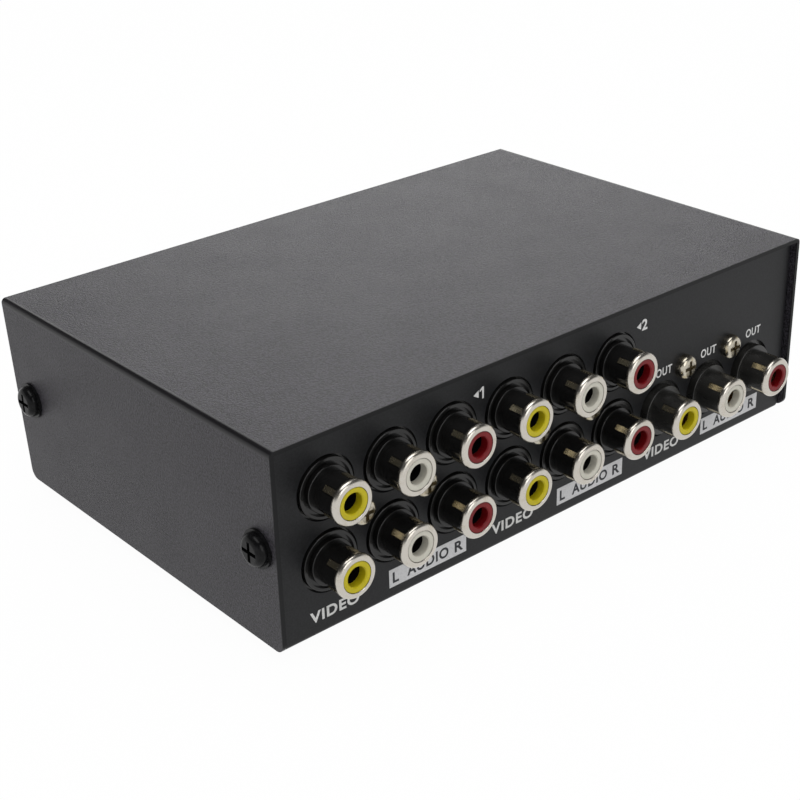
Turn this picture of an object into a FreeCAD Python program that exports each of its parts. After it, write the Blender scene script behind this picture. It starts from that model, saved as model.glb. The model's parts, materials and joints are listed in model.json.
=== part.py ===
# Audio video selector switch: a passive metal box that joins one of four inputs to one output.
#
# Frame: +Z up, +Y out of the jack panel at the rear, -Y out of the button panel at the front.
# The origin lies on the surface that the box stands on, under the middle of its cover.
# All lengths are in millimetres.
import FreeCAD
import Part

import math
import os
from types import SimpleNamespace

import Sketcher


# Driving dimensions

DRIVING_SIZES = (
    ("case_width", 136.0, "cover, outside, side to side"),
    ("case_depth", 88.0, "cover, along its top, front to rear"),
    ("case_height", 38.45, "cover, outside, bottom edge to top face"),
    ("cover_lift", 0.45, "cover's bottom edge above the tray's underside"),
    ("sheet", 0.8, "steel of the cover and of the tray"),
    ("cover_bend", 0.95, "outside radius of the cover's two long bends"),
    ("cover_rake", 2.8, "how far the cover's front edge leans back at the bottom"),
    ("cover_corner", 2.0, "rounding of the cover's four lower corners"),
    ("tray_gap", 0.15, "air between tray and cover on each side"),
    ("rear_recess", 1.2, "rear panel behind the cover's rear edge"),
    ("tray_depth", 83.0, "tray, outside, front panel to rear panel"),
    ("tray_bend", 0.95, "outside radius of the tray's bends"),
    ("flange_length", 10.0, "side flanges of the front and rear panels"),
    ("flange_bottom", 3.6, "lower end of the side flanges above the case bottom"),
    ("flange_bend", 0.7, "outside radius of the flanges' bends"),
    ("tray_top_gap", 0.2, "tray's upper edges under the cover's top"),
    ("foot_height", 2.0, "rubber feet"),
    ("foot_radius", 5.0, "rubber feet"),
    ("foot_rounding", 0.6, "lower rim of the feet"),
    ("foot_inset_across", 13.0, "foot centre from the case side"),
    ("foot_inset_along", 13.0, "foot centre from the tray's panels"),
    ("cover_screw_height", 19.45, "cover screws above the case bottom"),
    ("cover_screw_inset", 3.7, "cover screws from the outer face of the nearer panel"),
    ("screw_radius", 1.45, "threads of the cover and circuit board screws"),
    ("screw_clearance", 1.7, "holes that those screws pass through"),
    ("tapped_radius", 1.5, "holes that those screws bite in"),
    ("cover_screw_length", 4.0, "cover screws under the head"),
    ("cover_head_radius", 3.6, "flange of the cover screws' heads"),
    ("cover_dome_radius", 3.1, "cover screws' heads above the flange"),
    ("cover_head_height", 2.1, "cover screws' heads"),
    ("jack_pitch", 14.0, "jack to jack, across and up"),
    ("first_jack_inset", 11.6, "first jack column from the case side"),
    ("lower_row_height", 13.85, "lower jack row above the case bottom"),
    ("output_row_height", 13.1, "output jack row above the case bottom"),
    ("jack_hole_radius", 6.05, "panel holes round the jacks"),
    ("jack_reach", 7.45, "front of a jack's ring from the rear panel"),
    ("boss_radius", 5.65, "rim of an input jack's moulding in its panel hole"),
    ("boss_reach", 0.4, "that rim from the rear panel"),
    ("rim_width", 0.6, "that rim, across its wall"),
    ("rim_groove", 0.6, "depth of the groove inside the rim"),
    ("step_rounding", 0.15, "outer edges of the rims and of the steps at a jack's root"),
    ("collar_radius", 4.4, "step at the root of an input jack"),
    ("collar_reach", 1.0, "that step from the rear panel"),
    ("output_collar_radius", 5.15, "step at the root of an output jack"),
    ("output_collar_reach", 1.1, "that step from the rear panel"),
    ("barrel_radius", 3.8, "barrel that the ring is pushed on"),
    ("output_barrel_radius", 4.1, "output jack's barrel behind its ring"),
    ("nose_radius", 3.35, "narrower end of a barrel, inside the ring"),
    ("nose_length", 0.5, "narrower end of a barrel, inside the ring"),
    ("ring_radius", 4.15, "outer contact, where a plug's shell grips"),
    ("ring_sheet", 0.3, "metal of the outer contact"),
    ("ring_length", 0.95, "outer contact, without its legs"),
    ("ring_rounding", 0.75, "front rim of the outer contact"),
    ("ring_mouth_radius", 2.95, "opening in the front of the ring"),
    ("mouth_rounding", 0.12, "edge of that opening"),
    ("leg_width", 1.1, "legs of the outer contact"),
    ("leg_length", 3.0, "legs of an input jack, behind the ring"),
    ("output_leg_length", 3.4, "legs of an output jack, behind the ring"),
    ("leg_sink", 0.2, "inner face of the legs below the barrel's surface"),
    ("leg_overlap", 0.12, "outer face of the legs within the ring's wall"),
    ("leg_joint", 0.2, "root of the legs and tail, along the ring's wall"),
    ("leg_slot_floor", 3.5, "bottom of the slots that the legs lie in, from the jack's axis"),
    ("slot_gap", 0.15, "air round tails and sheet parts in their slots"),
    ("push_fit", 0.05, "air between parts that are pushed together"),
    ("insert_radius", 2.92, "coloured insulator"),
    ("insert_fit", 0.03, "air round a coloured insulator"),
    ("insert_set_back", 0.1, "coloured insulator behind the front of its ring"),
    ("insert_depth", 1.75, "coloured insulator, front to back"),
    ("funnel_radius", 2.1, "wide end of the insulator's funnel"),
    ("funnel_depth", 0.2, "insulator's funnel"),
    ("pin_bore_radius", 1.9, "bore for a plug's centre pin"),
    ("contact_radius", 2.2, "centre contact, outside"),
    ("contact_depth", 8.35, "bottom of a centre contact's bore behind the rear panel"),
    ("contact_set_back", 4.45, "front of an input jack's centre contact behind its insulator"),
    ("contact_air", 0.2, "air in front of a centre contact"),
    ("tail_width", 1.2, "solder tails"),
    ("tail_sheet", 0.4, "solder tails"),
    ("tail_inset", 0.3, "ground tails outside the coloured insulator"),
    ("tail_step", 2.0, "solder tail to solder tail behind a jack block"),
    ("tail_reach", 1.2, "tails, tabs and pins below the circuit board"),
    ("block_depth", 10.0, "jack block behind the rear panel"),
    ("block_gap", 0.15, "jack block to half way to its neighbour"),
    ("block_margin", 7.0, "jack block past its outer jack axes"),
    ("block_lift", 0.3, "jack blocks above the circuit board"),
    ("output_block_top", 25.25, "top of the output block above the case bottom"),
    ("output_screw_height", 20.45, "output block screws above the case bottom"),
    ("output_screw_shift", 0.5, "output block screws beside the middle between two jacks"),
    ("block_screw_radius", 1.35, "threads of the jack block screws"),
    ("block_screw_length", 8.0, "jack block screws under the head"),
    ("block_head_radius", 2.5, "jack block screws' heads"),
    ("block_head_height", 1.9, "jack block screws' heads"),
    ("recess_width", 0.75, "arms of the cross recesses"),
    ("board_width", 122.0, "circuit board"),
    ("board_depth", 74.0, "circuit board"),
    ("board_thickness", 1.6, "circuit board"),
    ("board_rear_gap", 1.0, "circuit board to the rear panel"),
    ("board_height", 4.0, "underside of the circuit board above the case bottom"),
    ("board_screw_bite", 2.2, "board screws in their standoffs"),
    ("board_screw_across", 55.0, "board screws from the middle"),
    ("board_screw_front", 26.0, "front board screws in front of the origin"),
    ("board_screw_rear", 17.0, "rear board screws behind the origin"),
    ("standoff_radius", 3.0, "standoffs"),
    ("standoff_neck", 1.8, "tray holes that the standoffs are swaged in"),
    ("tail_hole_radius", 0.75, "board holes for the jacks' tails"),
    ("tab_hole_radius", 1.2, "board holes for the switch frame's tabs"),
    ("pin_hole_radius", 0.5, "board holes for the switch terminals"),
    ("button_pitch", 20.0, "push button to push button"),
    ("button_height", 15.5, "push buttons' axis above the case bottom"),
    ("button_width", 12.0, "button cap"),
    ("button_tall", 8.0, "button cap"),
    ("button_corner", 0.9, "rounding of the cap's corners"),
    ("button_edge", 0.6, "rounding of the cap's front edges"),
    ("button_gap", 0.3, "air round a cap in the front panel"),
    ("button_travel", 4.0, "full stroke of a button"),
    ("cap_inside", 1.2, "rear of a cap behind the front panel's inner face"),
    ("stem_radius", 2.5, "plunger's stem"),
    ("stem_socket", 7.0, "depth of the stem in its cap"),
    ("stem_fit", 0.02, "air round a stem in its cap"),
    ("stem_gap", 0.3, "air round a stem in the switch frame"),
    ("collar_thickness", 0.8, "plunger's spring collar"),
    ("collar_rim", 0.5, "that collar outside the middle of the spring's wire"),
    ("spring_radius", 3.55, "return spring, to the middle of its wire"),
    ("wire_radius", 0.2, "spring wire"),
    ("spring_length", 7.0, "return spring at rest"),
    ("slider_side", 6.0, "plunger's square slider"),
    ("slider_gap", 0.1, "air round a slider"),
    ("slider_inset", 1.0, "front of a slider in the switch housing"),
    ("slider_spare", 1.2, "slider behind the lock plate, beyond a button's stroke"),
    ("tooth_height", 1.2, "lock tooth on a slider"),
    ("tooth_length", 1.2, "lock tooth along a slider"),
    ("tooth_gap", 0.3, "lock tooth in front of the lock plate"),
    ("tooth_shoulder", 1.0, "slider above and below its tooth"),
    ("housing_width", 82.0, "four-station switch housing"),
    ("housing_depth", 24.0, "four-station switch housing"),
    ("housing_tall", 14.6, "four-station switch housing"),
    ("housing_gap", 0.2, "switch housing to its frame's web and to the board"),
    ("housing_wall", 3.0, "switch housing before and behind its wells"),
    ("well_width", 5.0, "wells between the switch stations"),
    ("well_floor", 2.0, "floor of those wells"),
    ("frame_sheet", 0.8, "switch frame"),
    ("frame_wing", 30.0, "switch frame's side wings"),
    ("wing_gap", 0.3, "switch housing to its frame's wings"),
    ("tab_inset", 2.0, "frame's tabs from the ends of the switch housing"),
    ("tab_length", 2.0, "frame's tabs"),
    ("plate_gap", 1.8, "lock plate behind the switch housing"),
    ("plate_sheet", 1.0, "lock plate"),
    ("plate_tall", 11.0, "lock plate"),
    ("plate_travel", 1.5, "lock plate's stroke"),
    ("plate_tongue", 6.5, "lock plate's tongue outside the frame"),
    ("tongue_tall", 2.0, "lock plate's tongue"),
    ("plate_end", 1.0, "lock plate outside the frame's other wing"),
    ("plate_air", 0.2, "air round the sliders in the lock plate's windows"),
    ("plate_stop_reach", 2.7, "spring stop at the tongue's end, from its middle"),
    ("plate_stop_sheet", 0.8, "spring stop, along the tongue"),
    ("plate_spring_radius", 1.9, "lock plate's spring, to the middle of its wire"),
    ("terminal_side", 0.6, "switch terminals"),
    ("terminal_pitch", 8.0, "switch terminals, across and along a station"),
)

INPUT_COLUMNS = 3
BUTTON_COUNT = 4
LEG_ANGLES = (-110.0, -41.0, 41.0, 110.0)
SPRING_TURNS = 4
PLATE_SPRING_TURNS = 4

# A screw head's parts as shares of its height or radius.
BRIM_SHARE = 0.25
DOME_SHARE = 0.6
RECESS_REACH_SHARE = 0.62
RECESS_FLOOR_SHARE = 0.4

# How far a cut starts outside the metal, and how far two lengths may differ and count as equal.
OVERSHOOT = 1.0
TOLERANCE = 0.01


class Size:
    """A length with both its number and the sheet expression that it comes from."""

    def __init__(self, text, value):
        self.text = text
        self.value = float(value)

    def __float__(self):
        return self.value

    def _with(self, sign, other, value):
        return Size("(%s %s %s)" % (self.text, sign, as_size(other).text), value)

    def __add__(self, other):
        return self._with("+", other, self.value + float(other))

    def __sub__(self, other):
        return self._with("-", other, self.value - float(other))

    def __mul__(self, other):
        return self._with("*", other, self.value * float(other))

    def __truediv__(self, other):
        return self._with("/", other, self.value / float(other))

    def __radd__(self, other):
        return as_size(other) + self

    def __rsub__(self, other):
        return as_size(other) - self

    def __rmul__(self, other):
        return as_size(other) * self

    def __neg__(self):
        return as_size(0.0) - self


def as_size(number):
    """A plain number as a Size; a Size is handed back as it is."""
    if isinstance(number, Size):
        return number
    return Size("%.12g" % number, number)


def make_sheet(document):
    """Write the driving dimensions to a spreadsheet and return them by name."""
    sheet = document.addObject("Spreadsheet::Sheet", "Dims")
    sizes = {}
    for row, (alias, value, remark) in enumerate(DRIVING_SIZES, start=1):
        sheet.set("A%d" % row, alias)
        sheet.set("B%d" % row, "%g" % value)
        sheet.set("C%d" % row, remark)
        sheet.setAlias("B%d" % row, alias)
        sizes[alias] = Size("Dims." + alias, value)
    document.recompute()
    return SimpleNamespace(**sizes)


doc = FreeCAD.newDocument("SelectorSwitch")
d = make_sheet(doc)
sub_parts = []


# Places worked out from the driving dimensions

half_width = d.case_width / 2
case_bottom = d.foot_height
cover_bottom = case_bottom + d.cover_lift
case_top = cover_bottom + d.case_height
cover_rear = d.case_depth / 2
cover_front = -d.case_depth / 2
panel_rear = cover_rear - d.rear_recess
panel_inside = panel_rear - d.sheet
panel_front = panel_rear - d.tray_depth
tray_side = half_width - d.sheet - d.tray_gap
tray_top = case_top - d.sheet - d.tray_top_gap
floor_top = case_bottom + d.sheet
first_jack_x = half_width - d.first_jack_inset
lower_row_z = case_bottom + d.lower_row_height
upper_row_z = lower_row_z + d.jack_pitch
output_row_z = case_bottom + d.output_row_height
jack_front = panel_rear + d.jack_reach
board_bottom = case_bottom + d.board_height
board_top = board_bottom + d.board_thickness
board_rear = panel_inside - d.board_rear_gap
board_front = board_rear - d.board_depth
block_bottom = board_top + d.block_lift
button_z = case_bottom + d.button_height
cap_front = -jack_front
cap_rear = panel_front + d.sheet + d.cap_inside
collar_rear = cap_rear + d.collar_thickness
frame_front = collar_rear + d.spring_length
housing_front = frame_front + d.frame_sheet + d.housing_gap
housing_rear = housing_front + d.housing_depth
housing_bottom = board_top + d.housing_gap
housing_top = housing_bottom + d.housing_tall
plate_front = housing_rear + d.plate_gap
plate_rear = plate_front + d.plate_sheet
wing_inside = d.housing_width / 2 + d.wing_gap
wing_outside = wing_inside + d.frame_sheet
slider_half = d.slider_side / 2
tail_bottom = board_bottom - d.tail_reach
cover_screw_z = case_bottom + d.cover_screw_height
cover_screw_rear = panel_rear - d.cover_screw_inset
cover_screw_front = panel_front + d.cover_screw_inset
button_xs = [d.button_pitch * (i - (BUTTON_COUNT - 1) / 2) for i in range(BUTTON_COUNT)]


# Sketch and feature helpers

def new_body(label, x=0.0, y=0.0, z=0.0):
    """A body of its own for one sub-part, standing at the given place."""
    body = doc.addObject("PartDesign::Body", label)
    body.Label = label
    for axis, place in (("x", x), ("y", y), ("z", z)):
        body.setExpression("Placement.Base." + axis, as_size(place).text)
    return body


def keep(piece):
    """Count a finished piece among the sub-parts that are written."""
    sub_parts.append(piece)
    return piece


def new_sketch(body, role, name, offset):
    """A sketch on one of the body's origin planes, moved along the plane's normal."""
    sketch = body.newObject("Sketcher::SketchObject", body.Name + "_" + name)
    plane = next(f for f in body.Origin.OriginFeatures if f.Role == role)
    sketch.AttachmentSupport = (plane, [""])
    sketch.MapMode = "FlatFace"
    sketch.setExpression("AttachmentOffset.Base.z", as_size(offset).text)
    return sketch


def constrain(sketch, kind, anchors, size):
    """Add one dimension and bind it to the sheet."""
    size = as_size(size)
    index = sketch.addConstraint(Sketcher.Constraint(kind, *anchors, size.value))
    if "Dims" in size.text:
        sketch.setExpression("Constraints[%d]" % index, size.text)


def outline(sketch, corners):
    """A closed outline of straight sides through corners given as (across, up)."""
    first = sketch.GeometryCount
    spots = [FreeCAD.Vector(float(across), float(up), 0) for across, up in corners]
    count = len(corners)
    for i in range(count):
        sketch.addGeometry(Part.LineSegment(spots[i], spots[(i + 1) % count]), False)
    for i, (across, up) in enumerate(corners):
        sketch.addConstraint(Sketcher.Constraint("Coincident", first + i, 2, first + (i + 1) % count, 1))
        constrain(sketch, "DistanceX", (-1, 1, first + i, 1), across)
        constrain(sketch, "DistanceY", (-1, 1, first + i, 1), up)


def rectangle(sketch, left, bottom, right, top):
    """An upright rectangle between two corners."""
    outline(sketch, ((left, bottom), (right, bottom), (right, top), (left, top)))


def tilted_rectangle(sketch, centre, angle, half_length, half_breadth):
    """A rectangle turned by an angle in degrees about its centre."""
    along = (math.cos(math.radians(angle)), math.sin(math.radians(angle)))
    side = (-along[1], along[0])
    corners = []
    for near, far in ((-1, -1), (1, -1), (1, 1), (-1, 1)):
        across = centre[0] + half_length * (near * along[0]) + half_breadth * (far * side[0])
        up = centre[1] + half_length * (near * along[1]) + half_breadth * (far * side[1])
        corners.append((across, up))
    outline(sketch, corners)


def circle(sketch, across, up, radius):
    """A circle with its centre and radius bound to the sheet."""
    centre = FreeCAD.Vector(float(across), float(up), 0)
    normal = FreeCAD.Vector(0, 0, 1)
    index = sketch.addGeometry(Part.Circle(centre, normal, float(radius)), False)
    constrain(sketch, "DistanceX", (-1, 1, index, 3), across)
    constrain(sketch, "DistanceY", (-1, 1, index, 3), up)
    constrain(sketch, "Radius", (index,), radius)


# Each origin plane with the sign of its normal along the body's own axis.
PLANE_SIGN = {"XY_Plane": 1, "XZ_Plane": -1, "YZ_Plane": 1}


def pad(body, role, name, low, high, draw):
    """Fill a drawn outline between two coordinates along the plane's axis."""
    start = low if PLANE_SIGN[role] > 0 else -high
    sketch = new_sketch(body, role, name + "_sketch", start)
    draw(sketch)
    feature = body.newObject("PartDesign::Pad", body.Name + "_" + name)
    feature.Profile = sketch
    feature.setExpression("Length", (as_size(high) - low).text)
    body.Tip = feature
    return feature


def pocket(body, role, name, low, high, draw):
    """Cut a drawn outline between two coordinates along the plane's axis."""
    start = high if PLANE_SIGN[role] > 0 else -as_size(low)
    sketch = new_sketch(body, role, name + "_sketch", start)
    draw(sketch)
    feature = body.newObject("PartDesign::Pocket", body.Name + "_" + name)
    feature.Profile = sketch
    feature.setExpression("Length", (as_size(high) - low).text)
    body.Tip = feature
    return feature


def turn(body, name, corners):
    """Turn an outline of (along Y, radius) corners round the body's Y axis."""
    sketch = new_sketch(body, "YZ_Plane", name + "_sketch", 0.0)
    outline(sketch, corners)
    feature = body.newObject("PartDesign::Revolution", body.Name + "_" + name)
    feature.Profile = sketch
    feature.ReferenceAxis = (sketch, ["H_Axis"])
    feature.Angle = 360.0
    body.Tip = feature
    return feature


def round_edges(body, name, test, radius):
    """Round every edge of the body's last feature that passes a test."""
    doc.recompute()
    base = body.Tip
    names = ["Edge%d" % (i + 1) for i, edge in enumerate(base.Shape.Edges) if test(edge)]
    if not names:
        raise RuntimeError("no edge of %s to round as %s" % (body.Name, name))
    feature = body.newObject("PartDesign::Fillet", body.Name + "_" + name)
    feature.Base = (base, names)
    feature.setExpression("Radius", as_size(radius).text)
    body.Tip = feature
    return feature


def near(value, target):
    """True where two lengths agree."""
    return abs(float(value) - float(target)) < TOLERANCE


def along(edge, axis):
    """True for a straight edge that runs along one body axis."""
    if edge.Curve.TypeId != "Part::GeomLine":
        return False
    return abs(getattr(edge.Curve.Direction, axis)) > 0.999


def group(label, places):
    """Separate solids in one sub-part, each a pattern body's copy turned and moved to its place."""
    doc.recompute()
    solids = []
    for pattern, base, turn_axis, angle in places:
        spot = FreeCAD.Vector(*(float(value) for value in base))
        rotation = FreeCAD.Rotation(FreeCAD.Vector(*turn_axis), angle)
        solid = pattern.Tip.Shape.copy()
        solid.Placement = FreeCAD.Placement(spot, rotation).multiply(solid.Placement)
        solids.append(solid)
    feature = doc.addObject("Part::Feature", label)
    feature.Label = label
    feature.Shape = Part.makeCompound(solids)
    return keep(feature)


# Jacks, by name and place

def jack_list():
    """Every jack as (name, block, column, row), rows being upper, lower or output."""
    roles = ("video", "audio_left", "audio_right")
    jacks = []
    for block, upper, lower in ((0, 1, 3), (1, 2, 4)):
        for row, number in (("upper", upper), ("lower", lower)):
            for i, role in enumerate(roles):
                jacks.append(("input_%d_%s" % (number, role), block, INPUT_COLUMNS * block + i, row))
    for i, role in enumerate(roles):
        jacks.append(("output_" + role, 2, INPUT_COLUMNS * 2 + i, "output"))
    return jacks


def jack_x(column):
    """Where a jack column stands across the case."""
    return first_jack_x - d.jack_pitch * column


def jack_z(row):
    """How high a jack row stands."""
    return {"upper": upper_row_z, "lower": lower_row_z, "output": output_row_z}[row]


def ground_lane(row):
    """How far behind the block a ring's solder tail turns down."""
    return d.block_depth + d.sheet + d.tail_step * (3 if row == "upper" else 1)


def centre_lane(row):
    """How far behind the block a centre contact's solder tail turns down."""
    return ground_lane(row) + d.tail_step


def is_output(row):
    """True for the jacks of the output row, whose moulding differs."""
    return row == "output"


def leg_back(row):
    """Where a ring's legs end, from the rear panel."""
    return d.jack_reach - d.ring_length - (d.output_leg_length if is_output(row) else d.leg_length)


def insert_back():
    """Rear face of the coloured insulators, from the rear panel."""
    return d.jack_reach - d.insert_set_back - d.insert_depth


def contact_front(row):
    """Front of a centre contact, from the rear panel."""
    return insert_back() - (d.contact_air if is_output(row) else d.contact_set_back)


# Sheet metal case

def make_top_cover():
    """Cover folded from one sheet: a top and two sides, open at front, rear and below."""
    body = new_body("top_cover")
    inner = half_width - d.sheet
    roof = case_top - d.sheet

    def profile(sketch):
        outline(sketch, (
            (-half_width, cover_bottom), (-inner, cover_bottom), (-inner, roof), (inner, roof),
            (inner, cover_bottom), (half_width, cover_bottom), (half_width, case_top), (-half_width, case_top)))

    def rake(sketch):
        lean = cover_front + d.cover_rake
        outline(sketch, ((cover_front, case_top), (cover_front, cover_bottom), (lean, cover_bottom)))

    def screw_holes(sketch):
        for spot in (cover_screw_rear, cover_screw_front):
            circle(sketch, spot, cover_screw_z, d.screw_clearance)

    pad(body, "XZ_Plane", "fold", cover_front, cover_rear, profile)
    pocket(body, "YZ_Plane", "rake", -half_width - OVERSHOOT, half_width + OVERSHOOT, rake)
    pocket(body, "YZ_Plane", "screw_holes", -half_width - OVERSHOOT, half_width + OVERSHOOT, screw_holes)

    def is_long(edge):
        return along(edge, "y") and edge.Length > 0.9 * float(d.case_depth)

    def is_outer_bend(edge):
        return is_long(edge) and near(edge.CenterOfMass.z, case_top)

    def is_inner_bend(edge):
        centre = edge.CenterOfMass
        return is_long(edge) and near(centre.z, roof) and near(abs(centre.x), inner)

    def is_lower_corner(edge):
        return along(edge, "x") and near(edge.CenterOfMass.z, cover_bottom)

    round_edges(body, "outer_bends", is_outer_bend, d.cover_bend)
    round_edges(body, "inner_bends", is_inner_bend, d.cover_bend - d.sheet)
    round_edges(body, "lower_corners", is_lower_corner, d.cover_corner)
    return keep(body)


def make_base_tray():
    """Tray folded from one sheet: floor, button panel and jack panel with side flanges."""
    body = new_body("base_tray")
    wall_inside = panel_front + d.sheet

    def profile(sketch):
        outline(sketch, (
            (panel_front, tray_top), (panel_front, case_bottom),
            (panel_rear, case_bottom), (panel_rear, tray_top),
            (panel_inside, tray_top), (panel_inside, floor_top),
            (wall_inside, floor_top), (wall_inside, tray_top)))

    def flanges(sketch):
        overlap = d.sheet / 2
        for inner_end, outer_end in (
                (wall_inside - overlap, wall_inside + d.flange_length),
                (panel_inside - d.flange_length, panel_inside + overlap)):
            rectangle(sketch, tray_side - d.sheet, inner_end, tray_side, outer_end)
            rectangle(sketch, -tray_side, inner_end, d.sheet - tray_side, outer_end)

    def screw_holes(sketch):
        for spot in (cover_screw_rear, cover_screw_front):
            circle(sketch, spot, cover_screw_z, d.tapped_radius)

    def jack_holes(sketch):
        for _, _, column, row in jack_list():
            circle(sketch, jack_x(column), jack_z(row), d.jack_hole_radius)
        for across, up in block_screw_spots():
            circle(sketch, across, up, d.screw_clearance)

    def button_holes(sketch):
        half_across = d.button_width / 2 + d.button_gap
        half_up = d.button_tall / 2 + d.button_gap
        for x in button_xs:
            rectangle(sketch, x - half_across, button_z - half_up, x + half_across, button_z + half_up)

    def standoff_holes(sketch):
        for x, y in board_screw_spots():
            circle(sketch, x, y, d.standoff_neck)

    pad(body, "YZ_Plane", "fold", -tray_side, tray_side, profile)
    pad(body, "XY_Plane", "flanges", case_bottom + d.flange_bottom, tray_top, flanges)
    pocket(body, "YZ_Plane", "screw_holes", -tray_side - OVERSHOOT, tray_side + OVERSHOOT, screw_holes)
    pocket(body, "XZ_Plane", "jack_holes", panel_inside - OVERSHOOT, panel_rear + OVERSHOOT, jack_holes)
    pocket(body, "XZ_Plane", "button_holes", panel_front - OVERSHOOT, wall_inside + OVERSHOOT, button_holes)
    pocket(body, "XY_Plane", "standoff_holes", case_bottom - OVERSHOOT, floor_top + OVERSHOOT, standoff_holes)

    def is_floor_bend(edge, level, rear, front):
        centre = edge.CenterOfMass
        at_wall = near(centre.y, rear) or near(centre.y, front)
        return along(edge, "x") and near(centre.z, level) and at_wall and edge.Length > float(tray_side)

    def is_outer_bend(edge):
        return is_floor_bend(edge, case_bottom, panel_rear, panel_front)

    def is_inner_bend(edge):
        return is_floor_bend(edge, floor_top, panel_inside, wall_inside)

    def is_flange_bend(edge):
        centre = edge.CenterOfMass
        at_wall = near(centre.y, panel_rear) or near(centre.y, panel_front)
        return along(edge, "z") and near(abs(centre.x), tray_side) and at_wall

    round_edges(body, "outer_bends", is_outer_bend, d.tray_bend)
    round_edges(body, "inner_bends", is_inner_bend, d.tray_bend - d.sheet)
    round_edges(body, "flange_bends", is_flange_bend, d.flange_bend)
    return keep(body)


def make_rubber_feet():
    """Four stick-on feet under the tray's floor."""
    foot = new_body("foot_pattern")
    pad(foot, "XY_Plane", "disc", 0.0, d.foot_height, lambda sketch: circle(sketch, 0.0, 0.0, d.foot_radius))
    round_edges(foot, "rim", lambda edge: near(edge.CenterOfMass.z, 0.0), d.foot_rounding)
    across = half_width - d.foot_inset_across
    places = []
    for y in (panel_front + d.foot_inset_along, panel_rear - d.foot_inset_along):
        for x in (-across, across):
            places.append((foot, (x, y, 0.0), (0, 0, 1), 0.0))
    group("rubber_feet", places)


# Screws

def make_screw(label, head_radius, head_height, flange_radius, thread_radius, length):
    """A domed cross-recess screw along -Y, its head's underside at the origin."""
    body = new_body(label)
    flange = head_height * BRIM_SHARE
    brim = ((0.0, flange_radius), (flange, flange_radius), (flange, head_radius))
    if near(flange_radius, head_radius):
        brim = ((0.0, head_radius),)
    shank = ((-length, 0.0), (-length, thread_radius), (0.0, thread_radius))
    turn(body, "blank", (*shank, *brim, (head_height, head_radius), (head_height, 0.0)))

    def is_dome(edge):
        return near(edge.BoundBox.YMin, head_height) and near(edge.BoundBox.XMax, head_radius)

    round_edges(body, "dome", is_dome, head_height * DOME_SHARE)

    def recess(sketch):
        arm = head_radius * RECESS_REACH_SHARE
        half = d.recess_width / 2
        outline(sketch, (
            (-arm, -half), (-half, -half), (-half, -arm), (half, -arm), (half, -half), (arm, -half),
            (arm, half), (half, half), (half, arm), (-half, arm), (-half, half), (-arm, half)))

    pocket(body, "XZ_Plane", "recess", head_height * RECESS_FLOOR_SHARE, head_height + OVERSHOOT, recess)
    return body


def block_screw_spots():
    """Where the jack blocks' screws pass the rear panel, as (x, z)."""
    middle = (lower_row_z + upper_row_z) / 2
    spots = []
    for block in (0, 1):
        for gap in (0.5, 1.5):
            spots.append((jack_x(INPUT_COLUMNS * block + gap), middle))
    for gap in (0.5, 1.5):
        across = jack_x(INPUT_COLUMNS * 2 + gap) + d.output_screw_shift
        spots.append((across, case_bottom + d.output_screw_height))
    return spots


def board_screw_spots():
    """Where the circuit board is screwed down, as (x, y)."""
    spots = []
    for y in (-d.board_screw_front, d.board_screw_rear):
        for x in (-d.board_screw_across, d.board_screw_across):
            spots.append((x, y))
    return spots


def make_cover_screws():
    """Two flanged screws in each side of the cover."""
    screw = make_screw(
        "cover_screw_pattern", d.cover_dome_radius, d.cover_head_height, d.cover_head_radius,
        d.screw_radius, d.cover_screw_length)
    places = []
    for y in (cover_screw_front, cover_screw_rear):
        places.append((screw, (half_width, y, cover_screw_z), (0, 0, 1), -90.0))
        places.append((screw, (-half_width, y, cover_screw_z), (0, 0, 1), 90.0))
    group("cover_screws", places)


def make_block_screws():
    """Two screws for each jack block."""
    screw = make_screw(
        "block_screw_pattern", d.block_head_radius, d.block_head_height, d.block_head_radius,
        d.block_screw_radius, d.block_screw_length)
    places = [(screw, (x, panel_rear, z), (0, 1, 0), 0.0) for x, z in block_screw_spots()]
    group("jack_block_screws", places)


def make_board_screws():
    """Four screws that hold the circuit board on its standoffs."""
    screw = make_screw(
        "board_screw_pattern", d.block_head_radius, d.block_head_height, d.block_head_radius,
        d.screw_radius, d.board_thickness + d.board_screw_bite)
    places = [(screw, (x, y, board_top), (1, 0, 0), 90.0) for x, y in board_screw_spots()]
    group("circuit_board_screws", places)


# Jack blocks

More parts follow.
